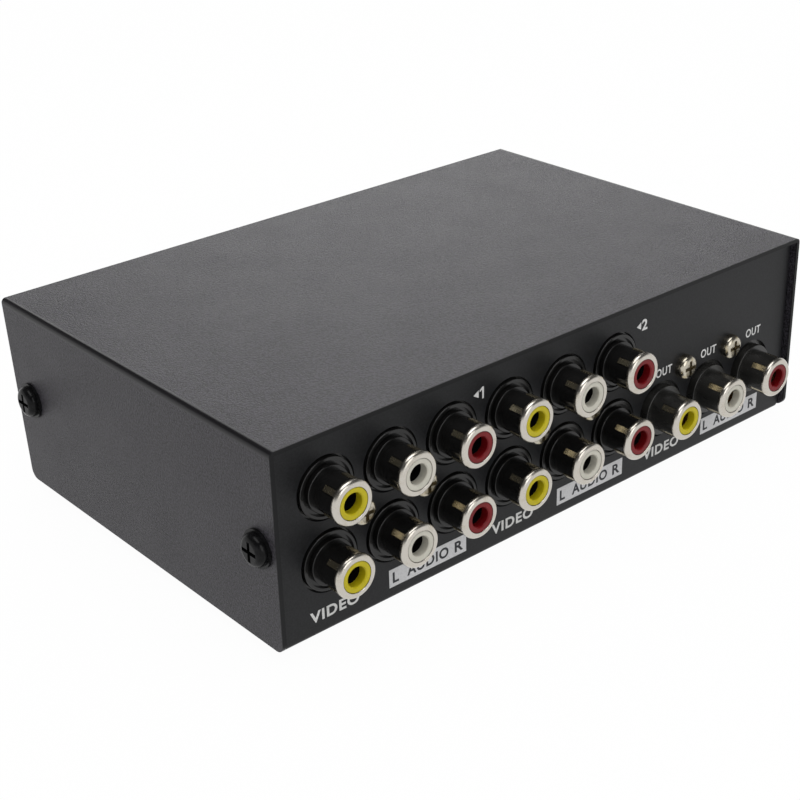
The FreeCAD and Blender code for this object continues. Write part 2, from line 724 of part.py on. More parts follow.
def make_jack_block(label, block, rows, top, screw_spots):
    """Moulding that carries a block's jacks: slab, rims, collars, barrels and their bores."""
    body = new_body(label, y=panel_rear)
    output = is_output(rows[0])
    columns = [INPUT_COLUMNS * block + i for i in range(INPUT_COLUMNS)]
    spots = [(jack_x(column), jack_z(row)) for row in rows for column in columns]
    slab_rear = -d.sheet - d.block_depth
    slab_front = -d.sheet
    ring_back = d.jack_reach - d.ring_length
    barrel_end = d.jack_reach - d.ring_sheet - d.push_fit
    seat_end = barrel_end - d.nose_length
    left = jack_x(columns[-1]) - d.block_margin + d.block_gap
    right = jack_x(columns[0]) + d.block_margin - d.block_gap
    collar_radius = d.output_collar_radius if output else d.collar_radius
    collar_reach = d.output_collar_reach if output else d.collar_reach
    outer_radius = d.output_barrel_radius if output else d.barrel_radius
    contact_end = -d.contact_depth - d.tail_sheet - 2 * d.push_fit
    contact_room = contact_front(rows[0]) + d.contact_air
    contact_hole = d.contact_radius + d.push_fit
    insert_hole = d.insert_radius + d.insert_fit

    def circles(radius):
        def draw(sketch):
            for x, z in spots:
                circle(sketch, x, z, radius)
        return draw

    def rim_grooves(sketch):
        for x, z in spots:
            circle(sketch, x, z, d.boss_radius - d.rim_width)
            circle(sketch, x, z, collar_radius)

    def tail_slots(sketch):
        half = d.tail_width / 2 + d.slot_gap
        low = outer_radius + d.slot_gap
        high = d.insert_radius - d.tail_inset
        for x, z in spots:
            rectangle(sketch, x - half, z - low, x + half, z - high)

    def centre_slots(sketch):
        half = d.tail_width / 2 + d.slot_gap
        for x, z in spots:
            rectangle(sketch, x - half, z - half, x + half, z + half)

    def leg_slots(angle):
        outer = outer_radius + 2 * d.push_fit
        middle = (d.leg_slot_floor + outer) / 2
        aside = math.cos(math.radians(angle))
        upward = math.sin(math.radians(angle))

        def draw(sketch):
            for x, z in spots:
                centre = (x + middle * aside, z + middle * upward)
                half_length = (outer - d.leg_slot_floor) / 2
                tilted_rectangle(sketch, centre, angle, half_length, d.leg_width / 2 + 2 * d.push_fit)
        return draw

    def screw_holes(sketch):
        for x, z in screw_spots:
            circle(sketch, x, z, d.block_screw_radius + d.push_fit)

    pad(body, "XZ_Plane", "slab", slab_rear, slab_front,
        lambda sketch: rectangle(sketch, left, block_bottom, right, top))
    if not output:
        pad(body, "XZ_Plane", "bosses", slab_front, d.boss_reach, circles(d.boss_radius))
    pad(body, "XZ_Plane", "collars", slab_front, collar_reach, circles(collar_radius))
    pad(body, "XZ_Plane", "barrels", slab_front, ring_back - d.push_fit, circles(outer_radius))
    pad(body, "XZ_Plane", "seats", slab_front, seat_end, circles(d.barrel_radius))
    for i, angle in enumerate(LEG_ANGLES):
        slot_start = leg_back(rows[0]) - 2 * d.push_fit
        pocket(body, "XZ_Plane", "leg_slots_%d" % (i + 1), slot_start, barrel_end, leg_slots(angle))
    pad(body, "XZ_Plane", "noses", slab_front, barrel_end, circles(d.nose_radius))
    if not output:
        pocket(body, "XZ_Plane", "rim_grooves", d.boss_reach - d.rim_groove, d.boss_reach, rim_grooves)
        pocket(body, "XZ_Plane", "pin_bores", contact_room, insert_back(), circles(d.pin_bore_radius))
    pocket(body, "XZ_Plane", "insert_bores", insert_back(), barrel_end, circles(insert_hole))
    pocket(body, "XZ_Plane", "contact_bores", contact_end, contact_room, circles(contact_hole))
    pocket(body, "XZ_Plane", "centre_slots", slab_rear, contact_end, centre_slots)
    pocket(body, "XZ_Plane", "tail_slots", slab_rear, barrel_end, tail_slots)
    pocket(body, "XZ_Plane", "screw_holes", -d.block_screw_length - d.block_lift, slab_front, screw_holes)

    def is_step(edge):
        if edge.Curve.TypeId != "Part::GeomCircle":
            return False
        box = edge.BoundBox
        on_rim = near(edge.Curve.Radius, d.boss_radius) and near(box.YMin, d.boss_reach)
        on_collar = near(edge.Curve.Radius, collar_radius) and near(box.YMin, collar_reach)
        return on_rim or on_collar

    round_edges(body, "steps", is_step, d.step_rounding)
    return keep(body)


def make_contact_ring(name, column, row):
    """Outer contact: a lipped ring with four legs on the barrel and a solder tail."""
    body = new_body("contact_ring_" + name, x=jack_x(column), y=panel_rear, z=jack_z(row))
    front = d.jack_reach
    back = front - d.ring_length
    inner = d.ring_radius - d.ring_sheet
    leg_inner = d.barrel_radius - d.leg_sink
    leg_outer = inner + d.leg_overlap
    tail_inner = d.insert_radius + d.tail_inset
    tail_outer = tail_inner + d.tail_sheet
    lane = -ground_lane(row)
    half_tail = d.tail_width / 2
    inside = front - d.ring_sheet

    turn(body, "shell", (
        (back, inner), (back, d.ring_radius), (front, d.ring_radius), (front, d.ring_mouth_radius),
        (inside, d.ring_mouth_radius), (inside, inner)))

    def circle_at(radius, place):
        def test(edge):
            if edge.Curve.TypeId != "Part::GeomCircle":
                return False
            return near(edge.Curve.Radius, radius) and near(edge.BoundBox.YMin, place)
        return test

    round_edges(body, "rim", circle_at(d.ring_radius, front), d.ring_rounding)
    round_edges(body, "rim_inside", circle_at(inner, inside), d.ring_rounding - d.ring_sheet)
    round_edges(body, "mouth", circle_at(d.ring_mouth_radius, front), d.mouth_rounding)

    def legs(sketch):
        middle = (leg_inner + leg_outer) / 2
        half_thick = (leg_outer - leg_inner) / 2
        for angle in LEG_ANGLES:
            centre = (middle * math.cos(math.radians(angle)), middle * math.sin(math.radians(angle)))
            tilted_rectangle(sketch, centre, angle, half_thick, d.leg_width / 2)

    pad(body, "XZ_Plane", "legs", leg_back(row), back + d.leg_joint, legs)

    def root(sketch):
        rectangle(sketch, -half_tail, -leg_outer, half_tail, -tail_inner)

    def run(sketch):
        rectangle(sketch, -half_tail, -tail_outer, half_tail, -tail_inner)

    def drop(sketch):
        rectangle(sketch, -half_tail, tail_bottom - jack_z(row), half_tail, -tail_inner)

    pad(body, "XZ_Plane", "tail_root", back, back + d.leg_joint, root)
    pad(body, "XZ_Plane", "tail_run", lane, back + d.leg_joint, run)
    pad(body, "XZ_Plane", "tail_drop", lane, lane + d.tail_sheet, drop)
    return keep(body)


def make_insert(name, column, row):
    """Coloured insulator with a funnel that leads a plug's pin to its bore."""
    body = new_body("insulator_" + name, x=jack_x(column), y=panel_rear, z=jack_z(row))
    front = d.jack_reach - d.insert_set_back
    back = insert_back()
    throat = front - d.funnel_depth
    shoulder = d.jack_reach - d.ring_sheet - d.push_fit
    nose = d.ring_mouth_radius - 2 * d.push_fit
    turn(body, "moulding", (
        (back, d.pin_bore_radius), (throat, d.pin_bore_radius), (front, d.funnel_radius), (front, nose),
        (shoulder, nose), (shoulder, d.insert_radius), (back, d.insert_radius)))
    return keep(body)


def make_centre_contacts():
    """Sleeves that take a plug's centre pin, each with a solder tail to the board."""
    patterns = {}
    for row in ("upper", "lower", "output"):
        body = new_body("centre_contact_pattern_" + row)
        front = contact_front(row)
        back = -d.contact_depth
        end = back - d.tail_sheet
        lane = -centre_lane(row)
        half_tail = d.tail_width / 2
        half_sheet = d.tail_sheet / 2
        turn(body, "sleeve", (
            (front, d.pin_bore_radius), (front, d.contact_radius), (end, d.contact_radius), (end, 0.0),
            (back, 0.0), (back, d.pin_bore_radius)))

        def run(sketch):
            rectangle(sketch, -half_tail, -half_sheet, half_tail, half_sheet)

        def drop(sketch):
            rectangle(sketch, -half_tail, tail_bottom - jack_z(row), half_tail, half_sheet)

        pad(body, "XZ_Plane", "tail_run", lane, back, run)
        pad(body, "XZ_Plane", "tail_drop", lane, lane + d.tail_sheet, drop)
        patterns[row] = body
    places = []
    for _, _, column, row in jack_list():
        places.append((patterns[row], (jack_x(column), panel_rear, jack_z(row)), (0, 0, 1), 0.0))
    group("centre_contacts", places)


# Circuit board

def terminal_spots():
    """Where the switch terminals pass the board, as (x, y)."""
    middle = (housing_front + housing_rear) / 2
    spots = []
    for x in button_xs:
        for side in (-0.5, 0.5):
            for step in (-1, 0, 1):
                spots.append((x + d.terminal_pitch * side, middle + d.terminal_pitch * step))
    return spots


def make_circuit_board():
    """Board that joins the jacks' tails and the switch terminals."""
    body = new_body("circuit_board")
    half_board = d.board_width / 2

    def tail_holes(sketch):
        for _, _, column, row in jack_list():
            for lane in (ground_lane(row), centre_lane(row)):
                circle(sketch, jack_x(column), panel_rear - lane + d.tail_sheet / 2, d.tail_hole_radius)

    def switch_holes(sketch):
        for x, y in terminal_spots():
            circle(sketch, x, y, d.pin_hole_radius)
        wing_middle = wing_inside + d.frame_sheet / 2
        for side in (-1, 1):
            for y in frame_tab_ys():
                circle(sketch, wing_middle * side, y + d.tab_length / 2, d.tab_hole_radius)

    def screw_holes(sketch):
        for x, y in board_screw_spots():
            circle(sketch, x, y, d.screw_clearance)

    pad(body, "XY_Plane", "plate", board_bottom, board_top,
        lambda sketch: rectangle(sketch, -half_board, board_front, half_board, board_rear))
    below = board_bottom - OVERSHOOT
    above = board_top + OVERSHOOT
    pocket(body, "XY_Plane", "tail_holes", below, above, tail_holes)
    pocket(body, "XY_Plane", "switch_holes", below, above, switch_holes)
    pocket(body, "XY_Plane", "screw_holes", below, above, screw_holes)
    return keep(body)


def make_standoffs():
    """Four tapped pillars swaged into the tray's floor."""
    body = new_body("standoff_pattern")
    pad(body, "XY_Plane", "pillar", floor_top, board_bottom,
        lambda sketch: circle(sketch, 0.0, 0.0, d.standoff_radius))
    pad(body, "XY_Plane", "collar", case_bottom, floor_top,
        lambda sketch: circle(sketch, 0.0, 0.0, d.standoff_neck - d.push_fit))
    pocket(body, "XY_Plane", "thread", floor_top, board_bottom,
           lambda sketch: circle(sketch, 0.0, 0.0, d.tapped_radius))
    places = [(body, (x, y, 0.0), (0, 0, 1), 0.0) for x, y in board_screw_spots()]
    group("circuit_board_standoffs", places)


# Push button switch bank

def frame_tab_ys():
    """Front ends of the frame's tabs that pass the board."""
    return (housing_front + d.tab_inset, housing_rear - d.tab_inset - d.tab_length)


def make_switch_housing():
    """Four-station moulding with a square channel for each plunger's slider."""
    body = new_body("switch_housing")
    half_body = d.housing_width / 2
    half_channel = slider_half + d.slider_gap

    def channels(sketch):
        low = button_z - half_channel
        high = button_z + half_channel
        for x in button_xs:
            rectangle(sketch, x - half_channel, low, x + half_channel, high)

    def wells(sketch):
        for i in range(BUTTON_COUNT - 1):
            middle = (button_xs[i] + button_xs[i + 1]) / 2
            rectangle(
                sketch, middle - d.well_width / 2, housing_front + d.housing_wall,
                middle + d.well_width / 2, housing_rear - d.housing_wall)

    pad(body, "XZ_Plane", "block", housing_front, housing_rear,
        lambda sketch: rectangle(sketch, -half_body, housing_bottom, half_body, housing_top))
    pocket(body, "XZ_Plane", "channels", housing_front - OVERSHOOT, housing_rear + OVERSHOOT, channels)
    pocket(body, "XY_Plane", "wells", housing_bottom + d.well_floor, housing_top + OVERSHOOT, wells)
    return keep(body)


def make_switch_frame():
    """Steel bracket round the housing: front web, side wings, and tabs into the board."""
    body = new_body("switch_frame")
    web_rear = frame_front + d.frame_sheet
    wing_rear = frame_front + d.frame_wing

    def web(sketch):
        rectangle(sketch, -wing_outside, housing_bottom, wing_outside, housing_top)

    def wings(sketch):
        rectangle(sketch, wing_inside, frame_front, wing_outside, wing_rear)
        rectangle(sketch, -wing_outside, frame_front, -wing_inside, wing_rear)

    def stem_holes(sketch):
        for x in button_xs:
            circle(sketch, x, button_z, d.stem_radius + d.stem_gap)

    def tabs(sketch):
        for y in frame_tab_ys():
            rectangle(sketch, y, tail_bottom, y + d.tab_length, housing_bottom + d.frame_sheet)

    def plate_slot(half_tall):
        half = half_tall + d.slot_gap

        def draw(sketch):
            front = plate_front - d.slot_gap
            rear = plate_rear + d.slot_gap
            rectangle(sketch, front, button_z - half, rear, button_z + half)
        return draw

    pad(body, "XZ_Plane", "web", frame_front, web_rear, web)
    pad(body, "XY_Plane", "wings", housing_bottom, housing_top, wings)
    pocket(body, "XZ_Plane", "stem_holes", frame_front - OVERSHOOT, web_rear + OVERSHOOT, stem_holes)
    pad(body, "YZ_Plane", "tabs_right", wing_inside, wing_outside, tabs)
    pad(body, "YZ_Plane", "tabs_left", -wing_outside, -wing_inside, tabs)
    inner_end = wing_inside - OVERSHOOT
    outer_end = wing_outside + OVERSHOOT
    pocket(body, "YZ_Plane", "slot_right", inner_end, outer_end, plate_slot(d.plate_tall / 2))
    pocket(body, "YZ_Plane", "slot_left", -outer_end, -inner_end, plate_slot(d.plate_stop_reach))
    return keep(body)


def make_plunger(number, x):
    """Push rod of one button: stem with spring collar, square slider and lock tooth."""
    body = new_body("plunger_%d" % number, x=x, z=button_z)
    slider_front = housing_front + d.slider_inset
    slider_rear = plate_rear + d.button_travel + d.slider_spare
    tooth_rear = plate_front - d.tooth_gap

    def slider(sketch):
        rectangle(sketch, -slider_half, -slider_half, slider_half, slider_half)

    def tooth(sketch):
        outline(sketch, (
            (slider_half, tooth_rear), (slider_half, tooth_rear - d.tooth_length),
            (slider_half + d.tooth_height, tooth_rear - d.tooth_length)))

    pad(body, "XZ_Plane", "slider", slider_front, slider_rear, slider)
    pad(body, "XZ_Plane", "stem", cap_rear - d.stem_socket, slider_front,
        lambda sketch: circle(sketch, 0.0, 0.0, d.stem_radius))
    pad(body, "XZ_Plane", "collar", cap_rear, collar_rear,
        lambda sketch: circle(sketch, 0.0, 0.0, d.spring_radius + d.collar_rim))
    pad(body, "XY_Plane", "tooth", d.tooth_shoulder - slider_half, slider_half - d.tooth_shoulder, tooth)
    return keep(body)


def make_button_cap(number, x):
    """Cap pushed on a plunger's stem; it slides in its hole in the front panel."""
    body = new_body("button_cap_%d" % number, x=x, z=button_z)
    half_across = d.button_width / 2
    half_up = d.button_tall / 2
    pad(body, "XZ_Plane", "block", cap_front, cap_rear,
        lambda sketch: rectangle(sketch, -half_across, -half_up, half_across, half_up))
    pocket(body, "XZ_Plane", "socket", cap_rear - d.stem_socket - d.push_fit, cap_rear,
           lambda sketch: circle(sketch, 0.0, 0.0, d.stem_radius + d.stem_fit))

    def is_corner(edge):
        return along(edge, "y") and near(abs(edge.CenterOfMass.x), half_across)

    def is_front(edge):
        return near(edge.BoundBox.YMin, cap_front) and near(edge.BoundBox.YMax, cap_front)

    round_edges(body, "corners", is_corner, d.button_corner)
    round_edges(body, "front", is_front, d.button_edge)
    return keep(body)


def coil(radius, length, turns, wire):
    """A round-wire coil along +Y from the origin, each quarter turn one arc."""
    steps = 4 * turns
    rise = (length - 2 * wire) / steps
    if 4 * rise <= 2 * wire:
        raise RuntimeError("the turns of a coil touch")

    def point(step):
        angle = math.pi / 2 * step
        return FreeCAD.Vector(radius * math.cos(angle), wire + rise * step, radius * math.sin(angle))

    arcs = [Part.Arc(point(i), point(i + 0.5), point(i + 1)).toShape() for i in range(steps)]
    heading = arcs[0].tangentAt(arcs[0].FirstParameter)
    section = Part.Wire([Part.Circle(point(0), heading, wire).toShape()])
    return Part.Wire(arcs).makePipeShell([section], True, False)


def make_spring(label, radius, length, turns, base, turn_axis=(0, 0, 1), angle=0.0):
    """One coil spring as a sub-part, its sizes read from the sheet."""
    feature = doc.addObject("Part::Feature", label)
    feature.Label = label
    feature.Shape = coil(float(radius), float(length), turns, float(d.wire_radius))
    spot = FreeCAD.Vector(*(float(value) for value in base))
    feature.Placement = FreeCAD.Placement(spot, FreeCAD.Rotation(FreeCAD.Vector(*turn_axis), angle))
    return keep(feature)


def make_lock_plate():
    """Interlock plate that all four sliders pass; a pressed tooth shifts it sideways."""
    body = new_body("lock_plate")
    plate_end = wing_outside + d.plate_end
    low = button_z - d.plate_tall / 2
    high = button_z + d.plate_tall / 2
    half_neck = d.tongue_tall / 2
    shoulder = d.plate_air - wing_inside
    head = -wing_outside - d.plate_tongue

    def windows(sketch):
        up = slider_half + d.plate_air
        left = up + d.plate_travel
        right = up + d.tooth_height
        for x in button_xs:
            rectangle(sketch, x - left, button_z - up, x + right, button_z + up)

    def neck(sketch):
        rectangle(sketch, head, button_z - half_neck, shoulder + d.plate_sheet, button_z + half_neck)

    def stop(sketch):
        half = d.plate_stop_reach
        rectangle(sketch, head, button_z - half, head + d.plate_stop_sheet, button_z + half)

    pad(body, "XZ_Plane", "strip", plate_front, plate_rear,
        lambda sketch: rectangle(sketch, shoulder, low, plate_end, high))
    pad(body, "XZ_Plane", "neck", plate_front, plate_rear, neck)
    pad(body, "XZ_Plane", "stop", plate_front, plate_rear, stop)
    pocket(body, "XZ_Plane", "windows", plate_front - OVERSHOOT, plate_rear + OVERSHOOT, windows)
    return keep(body)


def make_terminals():
    """Solder pins of the four switch stations."""
    body = new_body("terminal_pattern")
    half = d.terminal_side / 2
    pad(body, "XY_Plane", "pin", tail_bottom, housing_bottom,
        lambda sketch: rectangle(sketch, -half, -half, half, half))
    places = [(body, (x, y, 0.0), (0, 0, 1), 0.0) for x, y in terminal_spots()]
    group("switch_terminals", places)


# Assembly

def build():
    """Make every sub-part."""
    make_top_cover()
    make_base_tray()
    make_rubber_feet()
    make_cover_screws()
    make_circuit_board()
    make_standoffs()
    make_board_screws()
    spots = block_screw_spots()
    input_top = upper_row_z + d.block_margin - d.block_gap
    output_top = case_bottom + d.output_block_top
    make_jack_block("input_block_1_3", 0, ("lower", "upper"), input_top, spots[0:2])
    make_jack_block("input_block_2_4", 1, ("lower", "upper"), input_top, spots[2:4])
    make_jack_block("output_block", 2, ("output",), output_top, spots[4:6])
    make_block_screws()
    for name, _, column, row in jack_list():
        make_contact_ring(name, column, row)
        make_insert(name, column, row)
    make_centre_contacts()
    make_switch_housing()
    make_switch_frame()
    make_terminals()
    for i, x in enumerate(button_xs, start=1):
        make_plunger(i, x)
        make_button_cap(i, x)
        make_spring("return_spring_%d" % i, d.spring_radius, d.spring_length, SPRING_TURNS,
                    (x, collar_rear, button_z))
    make_lock_plate()
    make_spring("lock_plate_spring", d.plate_spring_radius, d.plate_tongue - d.plate_stop_sheet,
                PLATE_SPRING_TURNS,
                (-wing_outside, (plate_front + plate_rear) / 2, button_z), (0, 0, 1), 90.0)


def check_document():
    """Stop if any object failed to compute or any sub-part's shape is unusable."""
    for item in doc.Objects:
        if "Invalid" in item.State or "Error" in item.State:
            raise RuntimeError("%s failed: %s" % (item.Name, item.State))
    for piece in sub_parts:
        if piece.Shape.isNull() or not piece.Shape.isValid():
            raise RuntimeError("%s has no valid shape" % piece.Label)


def write_parts():
    """Write each sub-part to its own STEP file."""
    os.makedirs("parts", exist_ok=True)
    for piece in sub_parts:
        piece.Shape.exportStep("parts/%s.step" % piece.Label)
        print("%s: %d solid(s), %.1f mm3" % (piece.Label, len(piece.Shape.Solids), piece.Shape.Volume))


build()
doc.recompute()
check_document()
write_parts()
print("%d sub-parts" % len(sub_parts))
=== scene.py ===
"""Looks of an audio video selector switch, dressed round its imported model.

Lengths are metres in the model's own frame: +Z up, +Y out of the jack panel, -Y out of the button
panel, and the origin on the plane that the feet stand on. The object's sizes are written in
millimetres times MM, and the studio's in metres.
"""

import json
import logging
import math
from collections.abc import Iterable, Mapping, Sequence
from dataclasses import dataclass
from enum import Enum

import bmesh
import bpy
from mathutils import Euler, Matrix, Vector


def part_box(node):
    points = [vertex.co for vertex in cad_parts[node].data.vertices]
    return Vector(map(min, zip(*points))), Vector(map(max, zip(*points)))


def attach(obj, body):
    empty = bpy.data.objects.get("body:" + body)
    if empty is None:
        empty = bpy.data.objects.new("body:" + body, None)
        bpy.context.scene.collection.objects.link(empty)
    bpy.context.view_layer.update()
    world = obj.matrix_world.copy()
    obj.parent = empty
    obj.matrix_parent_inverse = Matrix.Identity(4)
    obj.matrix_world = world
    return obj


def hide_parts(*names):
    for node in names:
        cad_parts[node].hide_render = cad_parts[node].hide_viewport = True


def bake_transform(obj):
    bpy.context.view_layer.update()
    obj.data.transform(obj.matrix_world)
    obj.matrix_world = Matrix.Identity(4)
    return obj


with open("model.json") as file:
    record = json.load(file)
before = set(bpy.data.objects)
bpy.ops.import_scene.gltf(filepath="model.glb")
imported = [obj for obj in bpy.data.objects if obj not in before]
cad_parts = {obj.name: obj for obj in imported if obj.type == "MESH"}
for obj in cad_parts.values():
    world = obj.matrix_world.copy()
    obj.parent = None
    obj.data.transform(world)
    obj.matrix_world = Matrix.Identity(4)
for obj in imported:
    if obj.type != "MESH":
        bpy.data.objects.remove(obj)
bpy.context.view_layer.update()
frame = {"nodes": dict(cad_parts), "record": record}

Span = tuple[float, float]
Size = tuple[float, float]
Point = tuple[float, float]
Triple = tuple[float, float, float]
Colour = tuple[float, float, float]

MM = 0.001
BUTTONS = 4
WHITE = (1.0, 1.0, 1.0)
PALEST_PAINT = 0.95

# Lettering: the space between letters, the steps in a curve, and a depth that is scaled later
LETTER_SPACING = 1.12
LETTER_STEPS = 6
LETTER_DEPTH = 0.5

# A plain number one with a slanted flag, one unit wide and tall
FIGURE_ONE = (
    (0.10, -0.50), (0.50, -0.50), (0.50, 0.50), (0.16, 0.50),
    (-0.50, 0.30), (-0.50, 0.12), (0.10, 0.27))

# Numbers of the sockets that share a name with others on their node
MIX_FACTOR, MIX_FIRST, MIX_SECOND, MIX_COLOUR = 0, 6, 7, 2
RANDOM_LEAST, RANDOM_MOST, RANDOM_SEED, RANDOM_NUMBER = 2, 3, 8, 1

log = logging.getLogger("selector_switch")


class Panel(Enum):
    """The two printed panels, each with the side of the tray that it is on."""

    JACKS = 1.0
    BUTTONS = -1.0

    def turned(self) -> Matrix:
        """Turn lettering drawn in its own XY plane so that it lies on the panel."""
        side = self.value
        return Matrix(((-side, 0, 0, 0), (0, 0, side, 0), (0, 1, 0, 0), (0, 0, 0, 1)))


class Weight(Enum):
    """How bold a stroke of lettering is, as an outline offset for letters one unit tall."""

    LIGHT = 0.018
    MEDIUM = 0.028


# Shader tools


class Wire:
    """A socket in a shader tree that takes part in Python arithmetic."""

    def __init__(self, shader: "Shader", socket: bpy.types.NodeSocket) -> None:
        """Keep the socket.

        Args:
            shader: The shader that new Math nodes are added to.
            socket: The output that this wire stands for.
        """
        self.shader = shader
        self.socket = socket

    def _math(self, operation: str, first: object, second: object) -> "Wire":
        """Add one Math node."""
        return self.shader.add("ShaderNodeMath", {"operation": operation}, {0: first, 1: second})

    def __add__(self, other: object) -> "Wire":
        """Add a number or wire."""
        return self._math("ADD", self, other)

    __radd__ = __add__

    def __sub__(self, other: object) -> "Wire":
        """Take a number or wire away."""
        return self._math("SUBTRACT", self, other)

    def __rsub__(self, other: object) -> "Wire":
        """Take this wire away from a number."""
        return self._math("SUBTRACT", other, self)

    def __mul__(self, other: object) -> "Wire":
        """Multiply by a number or wire."""
        return self._math("MULTIPLY", self, other)

    __rmul__ = __mul__

    def swing(self) -> "Wire":
        """Bring a pattern that lies about one half to lie about zero."""
        return self - 0.5

    def ramp(self, low: float, high: float) -> "Wire":
        """Stretch the span from low to high over zero to one, smoothly and clamped.

        Args:
            low: What becomes zero.
            high: What becomes one.

        Returns:
            The stretched wire.
        """
        settings = {"clamp": True, "interpolation_type": "SMOOTHSTEP"}
        inputs = {"Value": self, "From Min": low, "From Max": high}
        return self.shader.add("ShaderNodeMapRange", settings, inputs)


@dataclass(frozen=True)
class Grain:
    """A pattern, and what it does to the surface that it lies on.

    Attributes:
        size: The size of its largest features.
        detail: How many finer octaves it has.
        fineness: How strong these are.
        stretch: How much it is squeezed along each axis.
        dulling: How far the roughness moves over its whole range.
        depth: How deep its relief is.
        strength: How strong this relief is.
    """

    size: float
    detail: float = 2.0
    fineness: float = 0.5
    stretch: Triple = (1.0, 1.0, 1.0)
    dulling: float = 0.0
    depth: float = 0.0
    strength: float = 0.5

    def dulls(self, pattern: Wire) -> Wire:
        """The change of roughness that the laid pattern makes."""
        return self.dulling * pattern.swing()


@dataclass(frozen=True)
class Tones:
    """How a colour follows a pattern.

    Attributes:
        levels: The pattern's levels that it runs between.
        shares: The shares of the colour at these.
    """

    levels: Span
    shares: Span


def shade(colour: Colour, share: float) -> Colour:
    """A colour made lighter or darker, without leaving the range that paint can have."""
    return tuple(min(PALEST_PAINT, share * part) for part in colour)


class Shader:
    """A node tree of one material or of the world, with short ways to add to it."""

    def __init__(self, name: str, owner: bpy.types.ID | None = None) -> None:
        """Make the material, or take over another owner's tree.

        Args:
            name: The material's name.
            owner: A world to shade in place of a new material.
        """
        self.owner = owner or bpy.data.materials.new(name)
        self.owner.use_nodes = True
        self.tree = self.owner.node_tree
        self.tree.nodes.clear()
        kind = "ShaderNodeOutputWorld" if owner else "ShaderNodeOutputMaterial"
        self.output = self.tree.nodes.new(kind)
        self.surface = None
        if not owner:
            self.surface = self.tree.nodes.new("ShaderNodeBsdfPrincipled")
            self.tree.links.new(self.surface.outputs[0], self.output.inputs[0])

    def add(
        self,
        kind: str,
        settings: Mapping[str, object],
        inputs: Mapping[str | int, object],
        output: str | int = 0,
    ) -> Wire:
        """Add any node.

        Args:
            kind: The node's type name.
            settings: Properties, set before anything else.
            inputs: Values or wires, by socket name or number.
            output: The output that is wanted, by name or number.

        Returns:
            A wire from that output.
        """
        node = self.tree.nodes.new(kind)
        for key, value in settings.items():
            setattr(node, key, value)
        for key, value in inputs.items():
            self.feed(node.inputs[key], value)
        return Wire(self, node.outputs[output])

    def feed(self, socket: bpy.types.NodeSocket, value: object) -> None:
        """Link a wire to a socket, or write a plain value on it.

        Args:
            socket: The input.
            value: A wire, a number, a vector or a colour of three parts.
        """
        if isinstance(value, Wire):
            self.tree.links.new(value.socket, socket)
        elif socket.type == "RGBA" and len(value) == 3:
            socket.default_value = (*value, 1.0)
        else:
            socket.default_value = value

    def set(self, **sockets: object) -> None:
        """Set sockets of the Principled shader.

        Args:
            **sockets: Values or wires, with underscores for the spaces in the sockets' names.
        """
        for name, value in sockets.items():
            self.feed(self.surface.inputs[name.replace("_", " ")], value)

    def coat(self) -> Wire:
        """The Principled shader as it stands."""
        return Wire(self, self.surface.outputs[0])

    def cover(self, share: Wire, under: Wire, over: Wire) -> Wire:
        """Lay one shader over another, by a share from zero to one."""
        return self.add("ShaderNodeMixShader", {}, {0: share, 1: under, 2: over})

    def end(self, wire: Wire) -> bpy.types.ID:
        """Make a wire the tree's result.

        Args:
            wire: A shader's output.

        Returns:
            The material or world.
        """
        self.tree.links.new(wire.socket, self.output.inputs["Surface"])
        return self.owner

    def place(self, stretch: Triple = (1.0, 1.0, 1.0)) -> Wire:
        """Object coordinates.

        Args:
            stretch: What each axis is multiplied by.

        Returns:
            A vector wire.
        """
        spot = self.add("ShaderNodeTexCoord", {}, {}, "Object")
        if stretch == (1.0, 1.0, 1.0):
            return spot
        return self.add("ShaderNodeVectorMath", {"operation": "MULTIPLY"}, {0: spot, 1: stretch})

    def part(self, vector: Wire, axis: str) -> Wire:
        """One of a vector's three parts."""
        return self.add("ShaderNodeSeparateXYZ", {}, {0: vector}, axis)

    def noise(self, grain: Grain) -> Wire:
        """Smooth noise.

        Args:
            grain: Its size, octaves and stretch.

        Returns:
            A wire about 0.5.
        """
        return self.add("ShaderNodeTexNoise", {}, {
            "Vector": self.place(grain.stretch),
            "Scale": 1.0 / grain.size,
            "Detail": grain.detail,
            "Roughness": grain.fineness,
        })

    def cells(self, size: float) -> Wire:
        """Distance to the nearest of scattered points that lie a size apart."""
        return self.add("ShaderNodeTexVoronoi", {}, {"Vector": self.place(), "Scale": 1.0 / size})

    def mix(self, factor: Wire | float, first: Colour | Wire, second: Colour | Wire) -> Wire:
        """Blend two colours.

        Args:
            factor: The share of the second one.
            first: The colour at a factor of zero.
            second: The colour at a factor of one.

        Returns:
            A colour wire.
        """
        inputs = {MIX_FACTOR: factor, MIX_FIRST: first, MIX_SECOND: second}
        return self.add("ShaderNodeMix", {"data_type": "RGBA"}, inputs, MIX_COLOUR)

    def tint(self, pattern: Wire, tones: Tones, colour: Colour) -> Wire:
        """Let a colour follow a pattern.

        Args:
            pattern: What it follows.
            tones: The pattern's levels, and the shares of the colour at them.
            colour: The colour.

        Returns:
            A colour wire.
        """
        first, second = (shade(colour, share) for share in tones.shares)
        return self.mix(pattern.ramp(*tones.levels), first, second)

    def seen(self) -> Wire:
        """Tell what is seen from what only lights.

        Returns:
            One for what the camera sees straight on, in metal or through glass, and zero for light.
        """
        path = self.tree.nodes.new("ShaderNodeLightPath")
        names = ("Is Camera Ray", "Is Glossy Ray", "Is Transmission Ray")
        camera, glossy, through = (Wire(self, path.outputs[name]) for name in names)
        return camera + glossy + through

